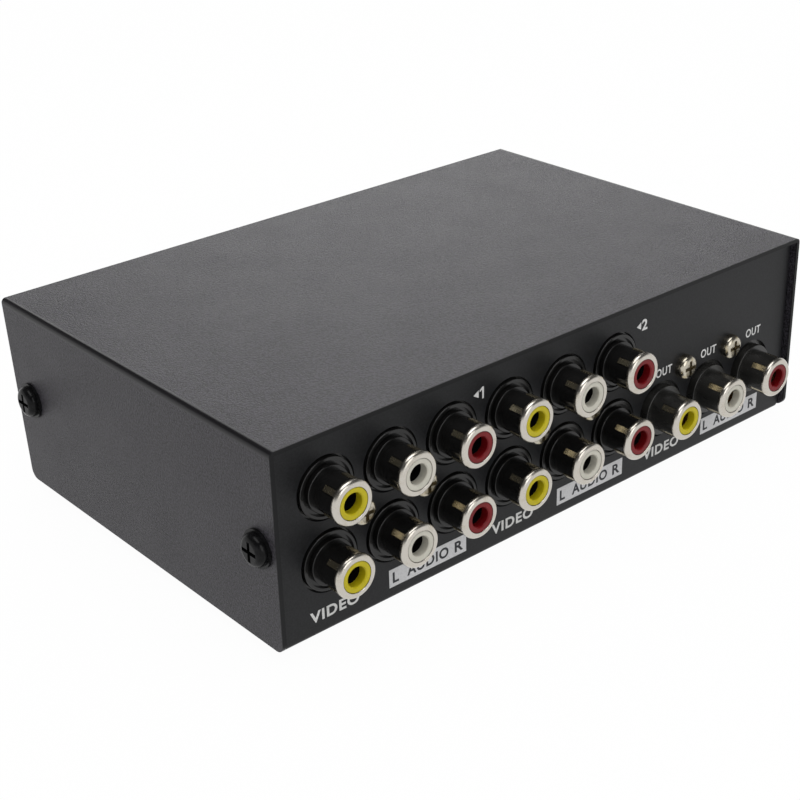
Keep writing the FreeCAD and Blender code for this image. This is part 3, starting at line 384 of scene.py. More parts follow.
    def bump(self, *layers: tuple[Wire, Grain]) -> None:
        """Add relief.

        Args:
            *layers: Rows of height wire and the grain that it has its depth from, lowest first.
        """
        inputs = {}
        for height, grain in layers:
            inputs.update({"Height": height, "Distance": grain.depth, "Strength": grain.strength})
            inputs["Normal"] = self.add("ShaderNodeBump", {}, inputs)
        self.set(Normal=inputs["Normal"])


# Finishes


@dataclass(frozen=True)
class PowderCoat:
    """Black powder coat, sandy with fine pits, smooth over the bends and dull on the cut edges.

    The bend is where the cover turns over, as the height plus the distance from its middle plane,
    where the colour is darkened as a painted dark reflection, and the edge is where the sheet ends,
    as the distance along Y, where the colour is darkened as painted shade.
    """

    name: str = "black_powder_coat"
    colour: Colour = (0.0200, 0.0183, 0.0225)
    tones: Tones = Tones((0.40, 0.60), (0.15, 2.5))
    gloss: float = 0.28
    sand: Grain = Grain(0.38 * MM, 3.0, 0.65, dulling=0.60, depth=0.110 * MM, strength=1.0)
    patches: Grain = Grain(9 * MM, dulling=0.08, depth=0.02 * MM, strength=0.3)
    flat_dulling: float = 0.14
    pit_size: float = 0.57 * MM
    pit_levels: Span = (0.34, 0.08)
    pit_cover: float = 0.5
    pit_share: float = 0.3
    pit_dulling: float = 0.14
    bend: Span = (107.55 * MM, 107.95 * MM)
    # Painted dark reflection: the share of the colour left over the bends
    bend_share: float = 0.3
    bend_roughness: float = 0.30
    edge: Span = (43.72 * MM, 43.92 * MM)
    # Painted shade: the cut edges are darker than the coat, standing in for the dark line of shade
    # there
    edge_colour: Colour = (0.0060, 0.0062, 0.0068)
    edge_roughness: float = 0.5
    edge_dulling: float = 0.2
    edge_gloss: float = 0.16

    def build(self) -> bpy.types.Material:
        """Make the material.

        Returns:
            Grains that differ in tone, in gloss and in height, over wide faint patches.
        """
        shader = Shader(self.name)
        sand, patches = shader.noise(self.sand), shader.noise(self.patches)
        pits = shader.cells(self.pit_size).ramp(*self.pit_levels)
        settings = {"operation": "ABSOLUTE"}
        spot = shader.add("ShaderNodeVectorMath", settings, {0: shader.place()})
        across, along, up = (shader.part(spot, axis) for axis in "XYZ")
        flat = 1 - (across + up).ramp(*self.bend)
        tone = shader.tint(sand, self.tones, self.colour)
        tone = shader.mix(self.pit_cover * pits, tone, shade(self.colour, self.pit_share))
        # Painted dark reflection: the colour is darkened over the bends, where the coat would
        # reflect dark surroundings
        tone = shader.mix(flat, shade(self.colour, self.bend_share), tone)
        shader.set(Base_Color=tone, Specular_IOR_Level=self.gloss)
        dulling = self.flat_dulling + self.sand.dulls(sand) + self.patches.dulls(patches)
        dulling += self.pit_dulling * pits
        shader.set(Roughness=self.bend_roughness + flat * dulling)
        shader.bump((patches, self.patches), (flat * sand.swing(), self.sand))
        # Painted shade on the cut edges: a darker, duller coat where the sheet ends
        cut = shader.add("ShaderNodeBsdfPrincipled", {}, {
            "Base Color": self.edge_colour,
            "Roughness": self.edge_roughness + self.edge_dulling * sand.swing(),
            "Specular IOR Level": self.edge_gloss,
        })
        return shader.end(shader.cover(along.ramp(*self.edge), shader.coat(), cut))


@dataclass(frozen=True)
class PanelPaint:
    """Smooth satin black paint of the tray and its two panels."""

    name: str = "black_panel_paint"
    colour: Colour = (0.0085, 0.0088, 0.0098)
    tones: Tones = Tones((0.35, 0.65), (0.75, 1.35))
    roughness: float = 0.42
    gloss: float = 0.20
    haze: Grain = Grain(0.30 * MM, 3.0, 0.6, dulling=0.10, depth=0.010 * MM, strength=0.6)
    peel: Grain = Grain(1.6 * MM, dulling=0.05, depth=0.008 * MM, strength=0.4)

    def build(self) -> bpy.types.Material:
        """Make the material.

        Returns:
            Faint orange peel under a fine haze.
        """
        shader = Shader(self.name)
        haze, peel = shader.noise(self.haze), shader.noise(self.peel)
        shader.set(Base_Color=shader.tint(haze, self.tones, self.colour))
        shader.set(Roughness=self.roughness + self.haze.dulls(haze) + self.peel.dulls(peel))
        shader.set(Specular_IOR_Level=self.gloss)
        shader.bump((peel, self.peel), (haze, self.haze))
        return shader.owner


@dataclass(frozen=True)
class Plating:
    """Bright plating with the haze of handling.

    Between two places along Y it goes from a brassy tone to full: partly brass, partly a painted
    golden glint.
    """

    name: str
    colour: Colour
    warm: Colour
    roughness: float
    thin: Span = (0.0, 1.0 * MM)
    # Brassy tone: partly brass, partly a painted golden glint
    brass: Colour = (0.74, 0.65, 0.45)
    clouds: Span = (0.48, 0.70)
    cloud: Grain = Grain(1.4 * MM, 3.0, 0.6, dulling=0.10, depth=0.02 * MM, strength=0.3)
    scratch: Grain = Grain(0.16 * MM, dulling=0.06, depth=0.006 * MM)

    def build(self) -> bpy.types.Material:
        """Make the material.

        Returns:
            Metal with clouds of tone and gloss, and fine scratches.
        """
        shader = Shader(self.name)
        cloud, scratch = shader.noise(self.cloud), shader.noise(self.scratch)
        along = shader.part(shader.place(), "Y")
        tone = shader.mix(cloud.ramp(*self.clouds), self.colour, self.warm)
        # Brassy tone behind the given place along Y: partly brass, partly a painted golden glint
        shader.set(Base_Color=shader.mix(along.ramp(*self.thin), self.brass, tone), Metallic=1.0)
        dulling = self.roughness + self.cloud.dulls(cloud) + self.scratch.dulls(scratch)
        shader.set(Roughness=dulling)
        shader.bump((cloud, self.cloud), (scratch, self.scratch))
        return shader.owner


@dataclass(frozen=True)
class Moulding:
    """Moulded plastic with faint flow and a fine skin."""

    name: str
    colour: Colour
    roughness: float
    spread: float
    gloss: float = 0.5
    levels: Span = (0.30, 0.70)
    flow: Grain = Grain(
        3.0 * MM, stretch=(1.0, 0.35, 1.0), dulling=0.08, depth=0.024 * MM, strength=0.3)
    skin: Grain = Grain(0.22 * MM, dulling=0.10, depth=0.006 * MM)

    def build(self) -> bpy.types.Material:
        """Make the material.

        Returns:
            Tone that follows the flow of the plastic, with a skin that dulls its gloss.
        """
        shader = Shader(self.name)
        flow, skin = shader.noise(self.flow), shader.noise(self.skin)
        tones = Tones(self.levels, (1 - self.spread, 1 + self.spread))
        shader.set(Base_Color=shader.tint(flow, tones, self.colour), Specular_IOR_Level=self.gloss)
        shader.set(Roughness=self.roughness + self.skin.dulls(skin) + self.flow.dulls(flow))
        shader.bump((flow, self.flow), (skin, self.skin))
        return shader.owner


@dataclass(frozen=True)
class BlackOxide:
    """Blackened steel, glossy on its high spots."""

    name: str = "black_screw"
    colour: Colour = (0.0045, 0.0045, 0.0048)
    tones: Tones = Tones((0.4, 0.7), (1.0, 2.0))
    roughness: float = 0.15
    gloss: float = 0.11
    cloud: Grain = Grain(0.9 * MM, 3.0, 0.6, dulling=0.22, depth=0.03 * MM)
    skin: Grain = Grain(0.12 * MM, dulling=0.08, depth=0.006 * MM)

    def build(self) -> bpy.types.Material:
        """Make the material.

        Returns:
            A dark skin with worn, paler clouds.
        """
        shader = Shader(self.name)
        cloud, skin = shader.noise(self.cloud), shader.noise(self.skin)
        shader.set(Base_Color=shader.tint(cloud, self.tones, self.colour))
        shader.set(Roughness=self.roughness + self.cloud.dulls(cloud) + self.skin.dulls(skin))
        shader.set(Specular_IOR_Level=self.gloss)
        shader.bump((cloud, self.cloud), (skin, self.skin))
        return shader.owner


@dataclass(frozen=True)
class PrintedInk:
    """Screen printing ink, slightly uneven and a little worn."""

    name: str
    colour: Colour
    tones: Tones = Tones((0.30, 0.55), (0.82, 1.0))
    roughness: float = 0.55
    gloss: float = 0.25
    mesh: Grain = Grain(0.25 * MM, 2.0, 0.7, dulling=0.10, depth=0.006 * MM)

    def build(self) -> bpy.types.Material:
        """Make the material.

        Returns:
            Flat ink that is thinner in the pattern of the screen.
        """
        shader = Shader(self.name)
        mesh = shader.noise(self.mesh)
        shader.set(Base_Color=shader.tint(mesh, self.tones, self.colour))
        shader.set(Roughness=self.roughness + self.mesh.dulls(mesh), Specular_IOR_Level=self.gloss)
        shader.bump((mesh, self.mesh))
        return shader.owner


@dataclass(frozen=True)
class RolledSteel:
    """Zinc plated or bright sheet steel and wire with rolling lines."""

    name: str
    colour: Colour
    roughness: float
    tones: Tones = Tones((0.2, 0.7), (0.82, 1.0))
    spangle: float = 2.2 * MM
    lines: Grain = Grain(
        1.2 * MM, 3.0, 0.6, (0.06, 1.0, 1.0), dulling=0.16, depth=0.010 * MM, strength=0.4)

    def build(self) -> bpy.types.Material:
        """Make the material.

        Returns:
            Metal with spangles and lines along the sheet.
        """
        shader = Shader(self.name)
        lines, spangle = shader.noise(self.lines), shader.cells(self.spangle)
        shader.set(Base_Color=shader.tint(spangle, self.tones, self.colour), Metallic=1.0)
        shader.set(Roughness=self.roughness + self.lines.dulls(lines))
        shader.bump((lines, self.lines))
        return shader.owner


@dataclass(frozen=True)
class BoardLaminate:
    """Brown paper laminate of the circuit board, with its fibres."""

    name: str = "circuit_board"
    colour: Colour = (0.42, 0.24, 0.09)
    tones: Tones = Tones((0.35, 0.65), (0.72, 1.0))
    roughness: float = 0.42
    fibre: Grain = Grain(
        0.8 * MM, 4.0, 0.7, (0.25, 1.0, 1.0), dulling=0.12, depth=0.012 * MM, strength=0.4)

    def build(self) -> bpy.types.Material:
        """Make the material.

        Returns:
            Fibrous brown board.
        """
        shader = Shader(self.name)
        fibre = shader.noise(self.fibre)
        shader.set(Base_Color=shader.tint(fibre, self.tones, self.colour))
        shader.set(Roughness=self.roughness + self.fibre.dulls(fibre))
        shader.bump((fibre, self.fibre))
        return shader.owner


@dataclass(frozen=True)
class FootRubber:
    """Dull black rubber with a moulded pebble."""

    name: str = "foot_rubber"
    colour: Colour = (0.020, 0.020, 0.021)
    tones: Tones = Tones((0.45, 0.8), (1.0, 2.2))
    roughness: float = 0.78
    gloss: float = 0.3
    pebble: Grain = Grain(0.5 * MM, depth=0.03 * MM, strength=0.4)
    dust: Grain = Grain(2.5 * MM, 3.0, dulling=0.12)

    def build(self) -> bpy.types.Material:
        """Make the material.

        Returns:
            Dusty pebbled rubber.
        """
        shader = Shader(self.name)
        pebble, dust = shader.cells(self.pebble.size), shader.noise(self.dust)
        shader.set(Base_Color=shader.tint(dust, self.tones, self.colour))
        shader.set(Roughness=self.roughness + self.dust.dulls(dust), Specular_IOR_Level=self.gloss)
        shader.bump((pebble, self.pebble))
        return shader.owner


FINISHES = (
    PowderCoat(),
    PanelPaint(),
    BlackOxide(),
    Plating("bright_screw", (0.48, 0.445, 0.37), warm=(0.42, 0.36, 0.24), roughness=0.24),
    # The nickel turns brassy towards the panel: partly brass, partly a painted golden glint
    Plating(
        "nickel", (0.545, 0.515, 0.465), warm=(0.50, 0.465, 0.40), roughness=0.26,
        thin=(48.2 * MM, 49.7 * MM)),
    Moulding("black_moulding", (0.0065, 0.0063, 0.0062), roughness=0.17, spread=0.12, gloss=0.35),
    # A paler copy of the black moulding: painted light, standing in for the stronger light on the
    # output block
    Moulding("dull_moulding", (0.0170, 0.0166, 0.0156), roughness=0.25, spread=0.25, gloss=0.45),
    Moulding("yellow_insulator", (0.44, 0.37, 0.007), roughness=0.36, spread=0.06, gloss=0.2),
    Moulding("white_insulator", (0.485, 0.47, 0.405), roughness=0.36, spread=0.03, gloss=0.25),
    Moulding("red_insulator", (0.145, 0.004, 0.006), roughness=0.34, spread=0.10, gloss=0.2),
    Moulding("button_plastic", (0.014, 0.014, 0.015), roughness=0.34, spread=0.20),
    Moulding("switch_moulding", (0.62, 0.60, 0.54), roughness=0.48, spread=0.05),
    Plating("tinned_brass", (0.66, 0.46, 0.18), warm=(0.50, 0.32, 0.10), roughness=0.30),
    Plating("solder", (0.62, 0.62, 0.60), warm=(0.50, 0.48, 0.44), roughness=0.30),
    RolledSteel("zinc_steel", (0.62, 0.62, 0.60), roughness=0.34),
    RolledSteel("spring_steel", (0.50, 0.50, 0.51), roughness=0.25),
    BoardLaminate(),
    FootRubber(),
    PrintedInk("white_ink", (0.64, 0.64, 0.63)),
    PrintedInk("label_ink", (0.60, 0.60, 0.61)),
    PrintedInk("dark_ink", (0.022, 0.023, 0.027)),
)


class Wardrobe:
    """Every material of the object, made once, and the way on to its pieces."""

    def __init__(self) -> None:
        """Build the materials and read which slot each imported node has."""
        self.materials = {finish.name: finish.build() for finish in FINISHES}
        self.slots = {row["node"]: row["material_slot"] for row in frame["record"]["subparts"]}

    def dress(self, *names: str, finish: str | None = None) -> None:
        """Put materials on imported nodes.

        Args:
            *names: The nodes' names, or how they start.
            finish: The material, where it isn't the one of the node's own slot.
        """
        for name, node in frame["nodes"].items():
            if name.startswith(names):
                chosen = finish or self.slots[name]
                node.data.materials.clear()
                node.data.materials.append(self.materials[chosen])
                log.info("%s wears %s", name, chosen)

    def add(self, name: str, mesh: bpy.types.Mesh, slot: str, finish: str) -> None:
        """Add a finished mesh as a piece that rides on the case.

        Args:
            name: The piece's name.
            mesh: The mesh, with its place in its points.
            slot: The record's material slot that it belongs to; not used.
            finish: The material that it wears.
        """
        mesh.name = name
        mesh.materials.clear()
        mesh.materials.append(self.materials[finish])
        piece = stand(name, mesh)
        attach(piece, "case")
        log.info("%s: %d faces", name, len(mesh.polygons))


# Mesh tools


def stand(name: str, data: bpy.types.ID) -> bpy.types.Object:
    """Put a new object in the scene.

    Args:
        name: The object's name.
        data: Its mesh, curve, lamp or camera.

    Returns:
        The object.
    """
    made = bpy.data.objects.new(name, data)
    bpy.context.scene.collection.objects.link(made)
    return made


def take_mesh(holder: bpy.types.Object) -> bpy.types.Mesh:
    """The mesh that an object with its modifiers comes to."""
    graph = bpy.context.evaluated_depsgraph_get()
    return bpy.data.meshes.new_from_object(holder.evaluated_get(graph))


def close_mesh(made: bmesh.types.BMesh) -> bpy.types.Mesh:
    """Turn a working mesh into a kept one.

    Args:
        made: The working mesh, freed here.

    Returns:
        The mesh.
    """
    mesh = bpy.data.meshes.new("mesh")
    made.to_mesh(mesh)
    made.free()
    return mesh


def join_meshes(meshes: Iterable[bpy.types.Mesh]) -> bpy.types.Mesh:
    """Put several meshes together in one and remove the originals.

    Args:
        meshes: The meshes.

    Returns:
        The joined mesh.
    """
    gathered = bmesh.new()
    for mesh in meshes:
        gathered.from_mesh(mesh)
        bpy.data.meshes.remove(mesh)
    return close_mesh(gathered)


def corners(points: Iterable[Vector]) -> tuple[Vector, Vector]:
    """Lowest and highest corner of the box round some points.

    Args:
        points: The points.

    Returns:
        The two corners.
    """
    spots = list(points)
    low = Vector(min(spot[axis] for spot in spots) for axis in range(3))
    high = Vector(max(spot[axis] for spot in spots) for axis in range(3))
    return low, high


def prism(outline: Sequence[Point], depth: float) -> bpy.types.Mesh:
    """A thin plate in the XY plane.

    Args:
        outline: Its corners, counterclockwise seen from +Z.
        depth: Its thickness, half of it on each side of the plane.

    Returns:
        The mesh.
    """
    made = bmesh.new()
    under = [made.verts.new((x, y, -depth / 2)) for x, y in outline]
    over = [made.verts.new((x, y, depth / 2)) for x, y in outline]
    made.faces.new(reversed(under))
    made.faces.new(over)
    for i, start in enumerate(under):
        j = (i + 1) % len(under)
        made.faces.new((start, under[j], over[j], over[i]))
    return close_mesh(made)


def rectangle(size: Size, depth: float) -> bpy.types.Mesh:
    """A thin rectangular plate in the XY plane, centred on the origin."""
    x, y = size[0] / 2, size[1] / 2
    return prism(((-x, -y), (x, -y), (x, y), (-x, y)), depth)


def figure_one(size: Size, depth: float) -> bpy.types.Mesh:
    """A plain number one in the XY plane, centred on the origin."""
    return prism([(size[0] * x, size[1] * y) for x, y in FIGURE_ONE], depth)


def words_mesh(words: str, size: Size, weight: Weight, depth: float) -> bpy.types.Mesh:
    """Generic words in the XY plane, centred on the origin.

    Args:
        words: What they say.
        size: Their width and height.
        weight: How bold they are.
        depth: Their thickness.

    Returns:
        The mesh.
    """
    curve = bpy.data.curves.new("words", "FONT")
    curve.body = words
    curve.offset = weight.value
    curve.space_character = LETTER_SPACING
    curve.resolution_u = LETTER_STEPS
    curve.extrude = LETTER_DEPTH
    holder = stand("words", curve)
    mesh = take_mesh(holder)
    bpy.data.objects.remove(holder)
    bpy.data.curves.remove(curve)
    low, high = corners(vertex.co for vertex in mesh.vertices)
    span = high - low
    scale = Matrix.Diagonal((size[0] / span.x, size[1] / span.y, depth / span.z, 1.0))
    mesh.transform(scale @ Matrix.Translation(-(low + high) / 2))
    return mesh


class Copies:
    """A geometry node tree that sets copies of one item on the points of a mesh."""

    INPUTS = (
        ("Points", "NodeSocketGeometry"),
        ("Item", "NodeSocketObject"),
        ("Finish", "NodeSocketMaterial"),
        ("Turn", "NodeSocketFloat"),
        ("Growth", "NodeSocketFloat"),
        ("Seed", "NodeSocketInt"),
    )

    def __init__(self, seed: int = 7) -> None:
        """Build the tree.

        Args:
            seed: What the copies' small differences are drawn from.
        """
        self.seed = seed
        self.tree = bpy.data.node_groups.new("copies", "GeometryNodeTree")
        face = self.tree.interface
        self.sockets = {}
        for name, kind in self.INPUTS:
            socket = face.new_socket(name, in_out="INPUT", socket_type=kind)
            self.sockets[name] = socket.identifier
        face.new_socket("Copies", in_out="OUTPUT", socket_type="NodeSocketGeometry")
        inputs = self.tree.nodes.new("NodeGroupInput").outputs
        angle = self._random(inputs["Turn"], inputs["Seed"])
        growth = self._random(inputs["Growth"], inputs["Seed"])
        turned = self._node("ShaderNodeCombineXYZ", {"Z": angle})
        larger = self._node("ShaderNodeMath", {0: growth, 1: 1.0})
        item = self._node("GeometryNodeObjectInfo", {"Object": inputs["Item"]}, "Geometry")
        placed = self._node("GeometryNodeInstanceOnPoints", {
            "Points": inputs["Points"], "Instance": item, "Rotation": turned, "Scale": larger})
        real = self._node("GeometryNodeRealizeInstances", {"Geometry": placed})
        painted = self._node("GeometryNodeSetMaterial", {
            "Geometry": real, "Material": inputs["Finish"]})
        self.tree.links.new(painted, self.tree.nodes.new("NodeGroupOutput").inputs[0])

    def _node(
        self, kind: str, inputs: Mapping[str | int, object], output: str | int = 0
    ) -> bpy.types.NodeSocket:
        """Add one node.

        Args:
            kind: The node's type name.
            inputs: Sockets to link or values to write, by name or number.
            output: The output that is wanted.

        Returns:
            That output.
        """
        node = self.tree.nodes.new(kind)
        for key, value in inputs.items():
            if isinstance(value, bpy.types.NodeSocket):
                self.tree.links.new(value, node.inputs[key])
            else:
                node.inputs[key].default_value = value
        return node.outputs[output]

    def _random(
        self, most: bpy.types.NodeSocket, seed: bpy.types.NodeSocket
    ) -> bpy.types.NodeSocket:
        """A number from zero to a limit that differs from copy to copy."""
        inputs = {RANDOM_LEAST: 0.0, RANDOM_MOST: most, RANDOM_SEED: seed}
        return self._node("FunctionNodeRandomValue", inputs, RANDOM_NUMBER)

    def build(
        self,
        item: bpy.types.Mesh,
        places: Sequence[Sequence[float]],
        finish: bpy.types.Material,
        turn: float = 0.0,
        growth: float = 0.0,
    ) -> bpy.types.Mesh:
        """Set an item's copies.

        Args:
            item: The mesh to copy, removed here.
            places: Where its origin goes.
            finish: The material of the copies.
            turn: The most that a copy is turned about Z, in radians.
            growth: The most that a copy is larger, as a share.

        Returns:
            The copies as one mesh.
        """
        points = bpy.data.meshes.new("points")
        points.from_pydata([tuple(place) for place in places], [], [])
        holder = stand("points", points)
        pattern = stand("pattern", item)
        modifier = holder.modifiers.new("copies", "NODES")
        modifier.node_group = self.tree
        values = {
            "Item": pattern, "Finish": finish, "Turn": turn, "Growth": growth, "Seed": self.seed}
        for name, value in values.items():
            modifier[self.sockets[name]] = value
        mesh = take_mesh(holder)
        holder.modifiers.remove(modifier)
        for spare in (holder, pattern):
            bpy.data.objects.remove(spare)
        for spare in (points, item):
            bpy.data.meshes.remove(spare)
        return mesh


# Case


@dataclass
class Caption:
    """One printed item and the places of its copies on a panel."""

    name: str
    item: bpy.types.Mesh
    places: Sequence[Point]
    finish: str
    panel: Panel = Panel.JACKS
    layer: int = 0


@dataclass
class Printing:
    """What is printed on the jack panel and the button panel.

    A level is a height over the plane that the feet stand on, a shift is how far an item is printed
    from the middle of its jack, and a share is a figure's width over its height.
    """

    wardrobe: Wardrobe
    copies: Copies
    ink: float = 0.02 * MM
    lower_blocks: tuple[str, ...] = ("input_3", "input_4", "output")
    video_size: Size = (10.7 * MM, 2.25 * MM)
    video_level: float = 6.0 * MM
    video_shifts: tuple[float, ...] = (-0.55 * MM, -0.95 * MM, -0.85 * MM)
    label_size: Size = (18.4 * MM, 3.65 * MM)
    label_level: float = 6.25 * MM
    label_shifts: tuple[float, ...] = (-0.95 * MM, -1.0 * MM, -1.35 * MM)
    label_words: tuple[tuple[str, float, float], ...] = (
        ("L", 7.70 * MM, 1.40 * MM), ("AUDIO", 0.10 * MM, 9.9 * MM), ("R", -7.40 * MM, 2.05 * MM))
    label_text: float = 2.2 * MM
    number_level: float = 35.2 * MM
    number_tall: float = 2.3 * MM
    number_widths: tuple[float, ...] = (1.0 * MM, 1.55 * MM)
    number_places: tuple[float, ...] = (21.15 * MM, -21.75 * MM)
    arrow_size: Size = (1.25 * MM, 1.5 * MM)
    arrow_gap: float = 0.25 * MM
    out_size: Size = (4.75 * MM, 1.85 * MM)
    out_level: float = 23.15 * MM
    out_shifts: tuple[float, ...] = (-0.6 * MM, -0.2 * MM, -0.55 * MM)
    button_tall: float = 2.6 * MM
    button_gap: float = 2.7 * MM
    one_share: float = 0.42
    digit_share: float = 0.62

    def build(self) -> None:
        """Print both panels."""
        captions = (
            *self.input_captions(), *self.labels(), self.output_captions(), *self.button_captions())
        for caption in captions:
            self.emit(caption)

    def emit(self, caption: Caption) -> None:
        """Lay a caption's copies on its panel.

        Args:
            caption: The printed item and its places.
        """
        low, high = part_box("base_tray")
        face = high.y if caption.panel is Panel.JACKS else low.y
        level = face + caption.panel.value * self.ink * (0.5 + caption.layer)
        caption.item.transform(caption.panel.turned())
        places = [(x, level, z) for x, z in caption.places]
        finish = self.wardrobe.materials[caption.finish]
        mesh = self.copies.build(caption.item, places, finish)
        self.wardrobe.add(caption.name, mesh, "black_panel_paint", caption.finish)

    @staticmethod
    def jack_x(name: str) -> float:
        """Where a jack stands across the panel."""
        return sum(corner.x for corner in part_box("insulator_" + name)) / 2

    def figure(self, number: int, size: Size) -> bpy.types.Mesh:
        """A number of one digit.

        Args:
            number: The number.
            size: Its width and height.

        Returns:
            The mesh.
        """
        if number == 1:
            return figure_one(size, self.ink)
        return words_mesh(str(number), size, Weight.MEDIUM, self.ink)

    def input_captions(self) -> list[Caption]:
        """The words under the video jacks, and the two inputs' numbers with their arrows.

        Returns:
            The captions.
        """
        places = [
            (self.jack_x(block + "_video") + shift, self.video_level)
            for block, shift in zip(self.lower_blocks, self.video_shifts)]
        word = words_mesh("VIDEO", self.video_size, Weight.MEDIUM, self.ink)
        captions = [Caption("video_captions", word, places, "white_ink")]
        heads = []
        numbers = enumerate(zip(self.number_places, self.number_widths), start=1)
        for number, (x, width) in numbers:
            figure = self.figure(number, (width, self.number_tall))
            name = f"number_{number}_caption"
            captions.append(Caption(name, figure, [(x, self.number_level)], "white_ink"))
            heads.append((x + width / 2 + self.arrow_gap, self.number_level))
        length, tall = self.arrow_size
        arrow = prism(((-length, 0.0), (0.0, -tall / 2), (0.0, tall / 2)), self.ink)
        captions.append(Caption("number_arrows", arrow, heads, "white_ink"))
        return captions

    def labels(self) -> list[Caption]:
        """The pale plates under the audio jacks and the words on them.

        Returns:
            The captions.
        """
        places = []
        for block, shift in zip(self.lower_blocks, self.label_shifts):
            middle = (self.jack_x(block + "_audio_left") + self.jack_x(block + "_audio_right")) / 2
            places.append((middle + shift, self.label_level))
        plate = rectangle(self.label_size, self.ink)
        words = []
        for text, place, width in self.label_words:
            word = words_mesh(text, (width, self.label_text), Weight.MEDIUM, self.ink)
            word.transform(Matrix.Translation((-place, 0, 0)))
            words.append(word)
        return [
            Caption("audio_label_plates", plate, places, "label_ink"),
            Caption("audio_label_words", join_meshes(words), places, "dark_ink", layer=1)]

    def output_captions(self) -> Caption:
        """The words over the output jacks.

        Returns:
            The caption.
        """
        roles = ("video", "audio_left", "audio_right")
        places = [
            (self.jack_x("output_" + role) + shift, self.out_level)
            for role, shift in zip(roles, self.out_shifts)]
        word = words_mesh("OUT", self.out_size, Weight.LIGHT, self.ink)
        return Caption("out_captions", word, places, "white_ink")

    def button_captions(self) -> list[Caption]:
        """The numbers over the buttons.

        Returns:
            The captions.
        """
        captions = []
        for number in range(1, BUTTONS + 1):
            low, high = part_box("button_cap_%d" % number)
            place = ((low.x + high.x) / 2, high.z + self.button_gap + self.button_tall / 2)
            share = self.one_share if number == 1 else self.digit_share
            figure = self.figure(number, (self.button_tall * share, self.button_tall))
            name = f"button_{number}_caption"
            captions.append(Caption(name, figure, [place], "white_ink", Panel.BUTTONS))
        return captions


@dataclass
class Case:
    """Folded cover and tray with their screws, feet and printing."""

    wardrobe: Wardrobe
    printing: Printing

    def build(self) -> None:
        """Dress the steel and print the panels."""
        self.wardrobe.dress("top_cover", "base_tray", "cover_screws", "rubber_feet")
        self.printing.build()


# Jacks


@dataclass
class JackBlocks:
    """Three mouldings with their rings, insulators, centre contacts and screws."""

    wardrobe: Wardrobe

    def build(self) -> None:
        """Dress the jacks."""
        self.wardrobe.dress("input_block", "contact_ring", "insulator")
        # The output block wears a paler, painted lit copy of the black moulding
        self.wardrobe.dress("output_block", finish="dull_moulding")
        self.wardrobe.dress("centre_contacts", "jack_block_screws")


# Circuit board


@dataclass
class BoardAssembly:
    """Circuit board on its standoffs, with the solder joints on its underside.

    Hollow is the power that bends a joint's flank, reach is how far a lead has to come out under
    the board, and growth is the most that a joint is larger than the smallest, as a share.
    """

    wardrobe: Wardrobe
    copies: Copies
    soldered: tuple[str, ...] = ("contact_ring", "centre_contacts", "switch_terminals")
    foot_radius: float = 1.05 * MM
    top_radius: float = 0.42 * MM
    tall: float = 0.9 * MM
    hollow: float = 2.2
    rings: int = 6
    sides: int = 14
    reach: float = 0.6 * MM
    growth: float = 0.15

    def build(self) -> None:
        """Dress the board and solder its leads."""
        self.wardrobe.dress("circuit_board")
        self.solder()

    def joint(self) -> bpy.types.Mesh:
        """One cone of solder with hollow flanks, hanging from the origin.

        Returns:
            The mesh.
        """
        made = bmesh.new()
        angles = [2 * math.pi * i / self.sides for i in range(self.sides)]
        flare = self.foot_radius - self.top_radius
        rows = []
        for step in range(self.rings + 1):
            down = step / self.rings
            radius = self.top_radius + flare * (1 - down) ** self.hollow
            level = -down * self.tall
            rows.append([
                made.verts.new((radius * math.cos(turn), radius * math.sin(turn), level))
                for turn in angles])
        for upper, lower in zip(rows, rows[1:]):
            for i in range(self.sides):
                j = (i + 1) % self.sides
                made.faces.new((upper[i], lower[i], lower[j], upper[j])).smooth = True
        made.faces.new(rows[0])
        made.faces.new(reversed(rows[-1]))
        bmesh.ops.recalc_face_normals(made, faces=made.faces)
        return close_mesh(made)

    def leads(self) -> list[Vector]:
        """Where leads come through the board.

        Returns:
            The middle of each lead, on the board's underside.
        """
        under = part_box("circuit_board")[0].z
        gap = 2 * self.foot_radius
        found: list[list[Vector]] = []
        for name, node in frame["nodes"].items():
            if not name.startswith(self.soldered):
                continue
            spots = [vertex.co for vertex in node.data.vertices]
            for end in (spot for spot in spots if spot.z < under - self.reach):
                near = next((lead for lead in found if (lead[0] - end).length < gap), None)
                if near is None:
                    found.append([end])
                else:
                    near.append(end)
        middles = [sum(corners(lead), Vector()) / 2 for lead in found]
        return [Vector((middle.x, middle.y, under)) for middle in middles]

    def solder(self) -> None:
        """Put a joint on every lead."""
        finish = self.wardrobe.materials["solder"]
        mesh = self.copies.build(self.joint(), self.leads(), finish, math.pi, self.growth)
        self.wardrobe.add("solder_joints", mesh, "tinned_brass", "solder")


# Switch bank


@dataclass
class SwitchBank:
    """Push switch with a station for each button, its plungers, springs, lock plate and caps."""

    wardrobe: Wardrobe
    weld: float = 0.0001 * MM

    def build(self) -> None:
        """Dress the switch and stand coils in for its springs."""
        self.wardrobe.dress("switch_", "plunger", "return_spring", "lock_plate", "button_cap")
        for number in range(1, BUTTONS + 1):
            self.let_give(f"return_spring_{number}", f"button_{number}")
        self.let_give("lock_plate_spring", "lock_plate")

    def let_give(self, name: str, mover: str) -> None:
        """Stand a coil in for a spring.

        Args:
            name: The spring's node.
            mover: The body that pushes the coil's lower end.
        """
        mesh = frame["nodes"][name].data.copy()
        welded = bmesh.new()
        welded.from_mesh(mesh)
        bmesh.ops.remove_doubles(welded, verts=welded.verts, dist=self.weld)
        welded.to_mesh(mesh)
        welded.free()
        mesh.shade_smooth()
        coil = stand(f"{name}_coil", mesh)
        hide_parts(name)
        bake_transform(coil)
        log.info("%s gives way to %s", coil.name, mover)


# Studio


@dataclass(frozen=True)
class Lamp:
    """A soft round light: where it hangs, how far it is across and how strong it is."""

    name: str
    place: Triple
    across: float
    watts: float


